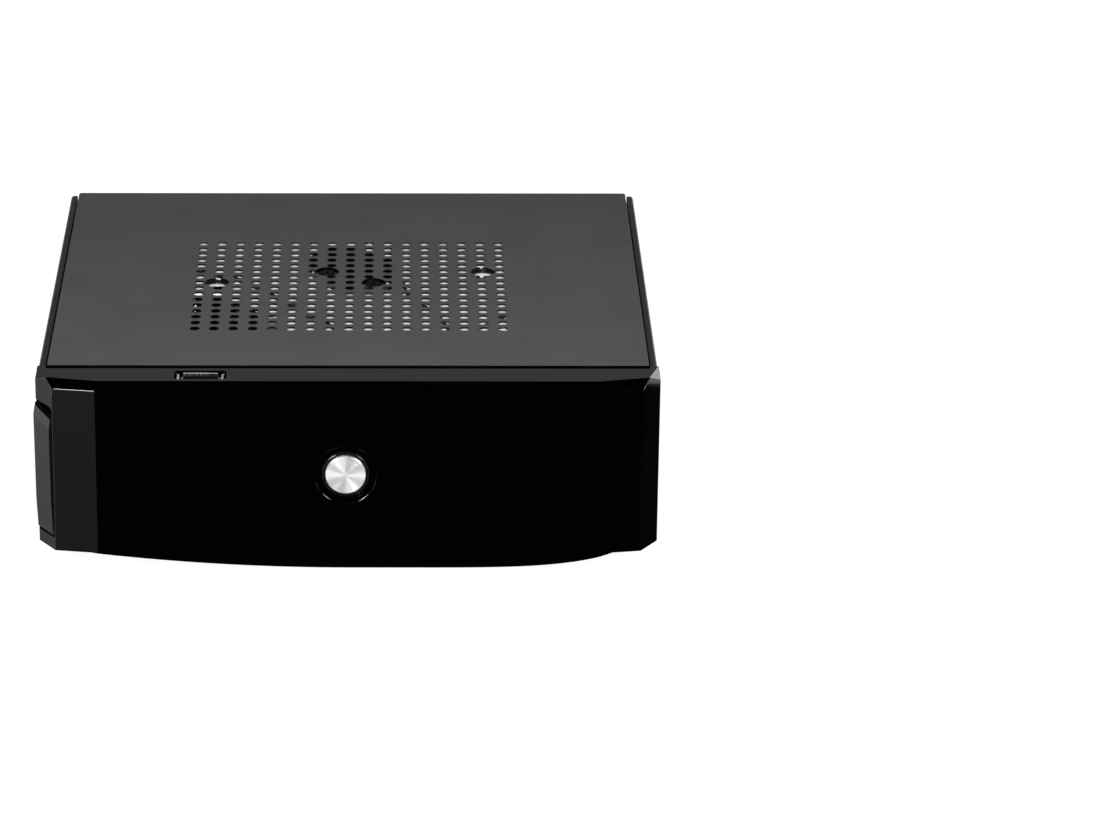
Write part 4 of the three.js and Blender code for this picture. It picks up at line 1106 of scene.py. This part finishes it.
def softbox(name, azimuth, elevation, distance, size, radiance, target=(0, 60, 40), only=(), clear=True):
    """An area light, at an azimuth to the right of the front; it may be flagged off all but some pieces."""
    data = bpy.data.lights.new(name, "AREA")
    data.shape = "RECTANGLE"
    data.size, data.size_y = size
    data.energy = radiance * math.pi * size[0] * size[1]
    lamp = bpy.data.objects.new(name, data)
    a, e = math.radians(azimuth), math.radians(elevation)
    out = Vector((math.sin(a) * math.cos(e), -math.cos(a) * math.cos(e), math.sin(e)))
    lamp.location = ORIGIN + Vector(target) * MM + out * distance
    lamp.rotation_mode = "QUATERNION"
    lamp.rotation_quaternion = (-out).to_track_quat("-Z", "Y")
    bpy.context.scene.collection.objects.link(lamp)
    if only:
        light_only(lamp, only, clear)


def table():
    """A pale table that is lit from below, which keeps the ground near white right up to the recorder."""
    half = 8
    mesh = bpy.data.meshes.new("table")
    mesh.from_pydata([(x, y, 0) for x, y in rectangle(-half, half, -half, half)], [], [(0, 1, 2, 3)])
    top = bpy.data.objects.new("table", mesh)
    bpy.context.scene.collection.objects.link(top)
    s = glowing("table", grey(0.2), 0.95)
    s.colour(s.noise(900, 1), grey(0.19), grey(0.2))
    mesh.materials.append(s.material)


def sky():
    """Dark in front, grey behind, and pale where the camera looks past the table."""
    world = bpy.data.worlds.new("studio")
    world.use_nodes = True
    nodes, links = world.node_tree.nodes, world.node_tree.links
    place = nodes.new("ShaderNodeTexCoord")
    split = nodes.new("ShaderNodeSeparateXYZ")
    links.new(place.outputs["Generated"], split.inputs["Vector"])
    back = nodes.new("ShaderNodeMapRange")
    for socket, value in (("From Min", -0.1), ("From Max", 0.7), ("To Min", 0.01), ("To Max", 0.24)):
        back.inputs[socket].default_value = value
    links.new(split.outputs["Y"], back.inputs["Value"])
    light = nodes["Background"]
    light.inputs["Color"].default_value = (1, 1, 1, 1)
    links.new(back.outputs["Result"], light.inputs["Strength"])
    seen = nodes.new("ShaderNodeBackground")
    seen.inputs["Color"].default_value = (0.93, 0.93, 0.93, 1)
    path = nodes.new("ShaderNodeLightPath")
    mix = nodes.new("ShaderNodeMixShader")
    links.new(path.outputs["Is Camera Ray"], mix.inputs["Fac"])
    links.new(light.outputs["Background"], mix.inputs[1])
    links.new(seen.outputs["Background"], mix.inputs[2])
    links.new(mix.outputs["Shader"], nodes["World Output"].inputs["Surface"])
    bpy.context.scene.world = world


def cards():
    """Flags and boards: what the front, its swept ends and its corners mirror from the table."""
    side, crease, start = FACET_FRONT[0], CREASE_X, FRONT_Y + 3
    ends = [bpy.data.objects["bezel_moulding"], bpy.data.objects["door_panel"]]
    cloth = grey(0.02)
    front_cloth = [
        (-crease, start),
        (-130, -190),
        (-150, -230),
        (-620, -2600),
        (1500, -2600),
        (330, -400),
        (190, -190),
        (side, start),
    ]
    left_cloth = [(-crease, start), (-130, -190), (-136, -200), (-200, -196), (-side - 1, -10)]
    left_board = [(-116, -24), (-116, 12), (-310, 104), (-350, -20)]
    right_cloth = [(side, start), (190, -190), (250, -160), (331, -41), (263, 104), (118, 8)]
    left_bounce = [(-260, -100), (-240, -300), (-640, -420), (-640, -60)]
    right_bounce = [(360, -100), (380, -260), (700, -380), (700, -60)]
    card("front_cloth", front_cloth, cloth)
    card("left_cloth", left_cloth, grey(0.35))
    card("left_board", left_board, grey(0.65))
    card("right_cloth", right_cloth, cloth)
    card("left_bounce", left_bounce, grey(0), glow=16, only=ends)
    card("right_bounce", right_bounce, grey(0), glow=18, only=ends)


def lamps():
    """Each has its azimuth and elevation in degrees, its distance and size in metres, and its radiance."""
    piece = bpy.data.objects
    cover_only, sleeve = [piece["cover_sheet"]], piece["top_port_sleeve"]  # the cover has its own lamps
    rest = [p for p in piece if p.type == "MESH" and p.name != "cover_sheet"]
    softbox("rear_box", 180, 50, 1.0, (1.0, 0.25), 7.0, only=[*cover_only, sleeve])
    softbox("front_box", 0, 20, 1.9, (4.0, 1.0), 0.3, only=cover_only)
    softbox("left_box", -48, 28, 1.7, (0.7, 0.5), 18, only=rest, clear=False)
    softbox("right_box", 50, 28, 1.7, (0.7, 0.5), 15, only=rest, clear=False)
    softbox("left_strip", -22, 12, 1.9, (0.16, 0.4), 36, only=rest, clear=False)
    softbox("right_side", 135, 5, 1.3, (0.6, 0.3), 2.4)

    # The button's spun face has three of its own, and the tray under the vents is lit from the lens.
    disc, disc_at = [piece["button_face"]], (BUTTON[0], CAP_LOW.y, BUTTON[1])
    softbox("disc_top", -7, 20, 1.7, (0.05, 0.3), 110, target=disc_at, only=disc)
    softbox("disc_sides", -36, -22, 1.7, (0.3, 0.4), 22, target=disc_at, only=disc)
    softbox("disc_fill", 0, -22, 1.7, (0.6, 0.6), 0.9, target=disc_at, only=disc)
    softbox("lens_lamp", 0.55, 21.8, 1.85, (0.10, 0.10), 2700, only=[frame["nodes"]["drive_tray"]])


# ---------- assembly ----------

camera()
dress_frame()
cover()
side_panels()
bezel()
button_face()
glow_ring()
button_surround()
door()
port_sleeve()
port_tongue()
monitor_socket()
table()
sky()
cards()
lamps()
bpy.context.scene.view_settings.view_transform = "Standard"
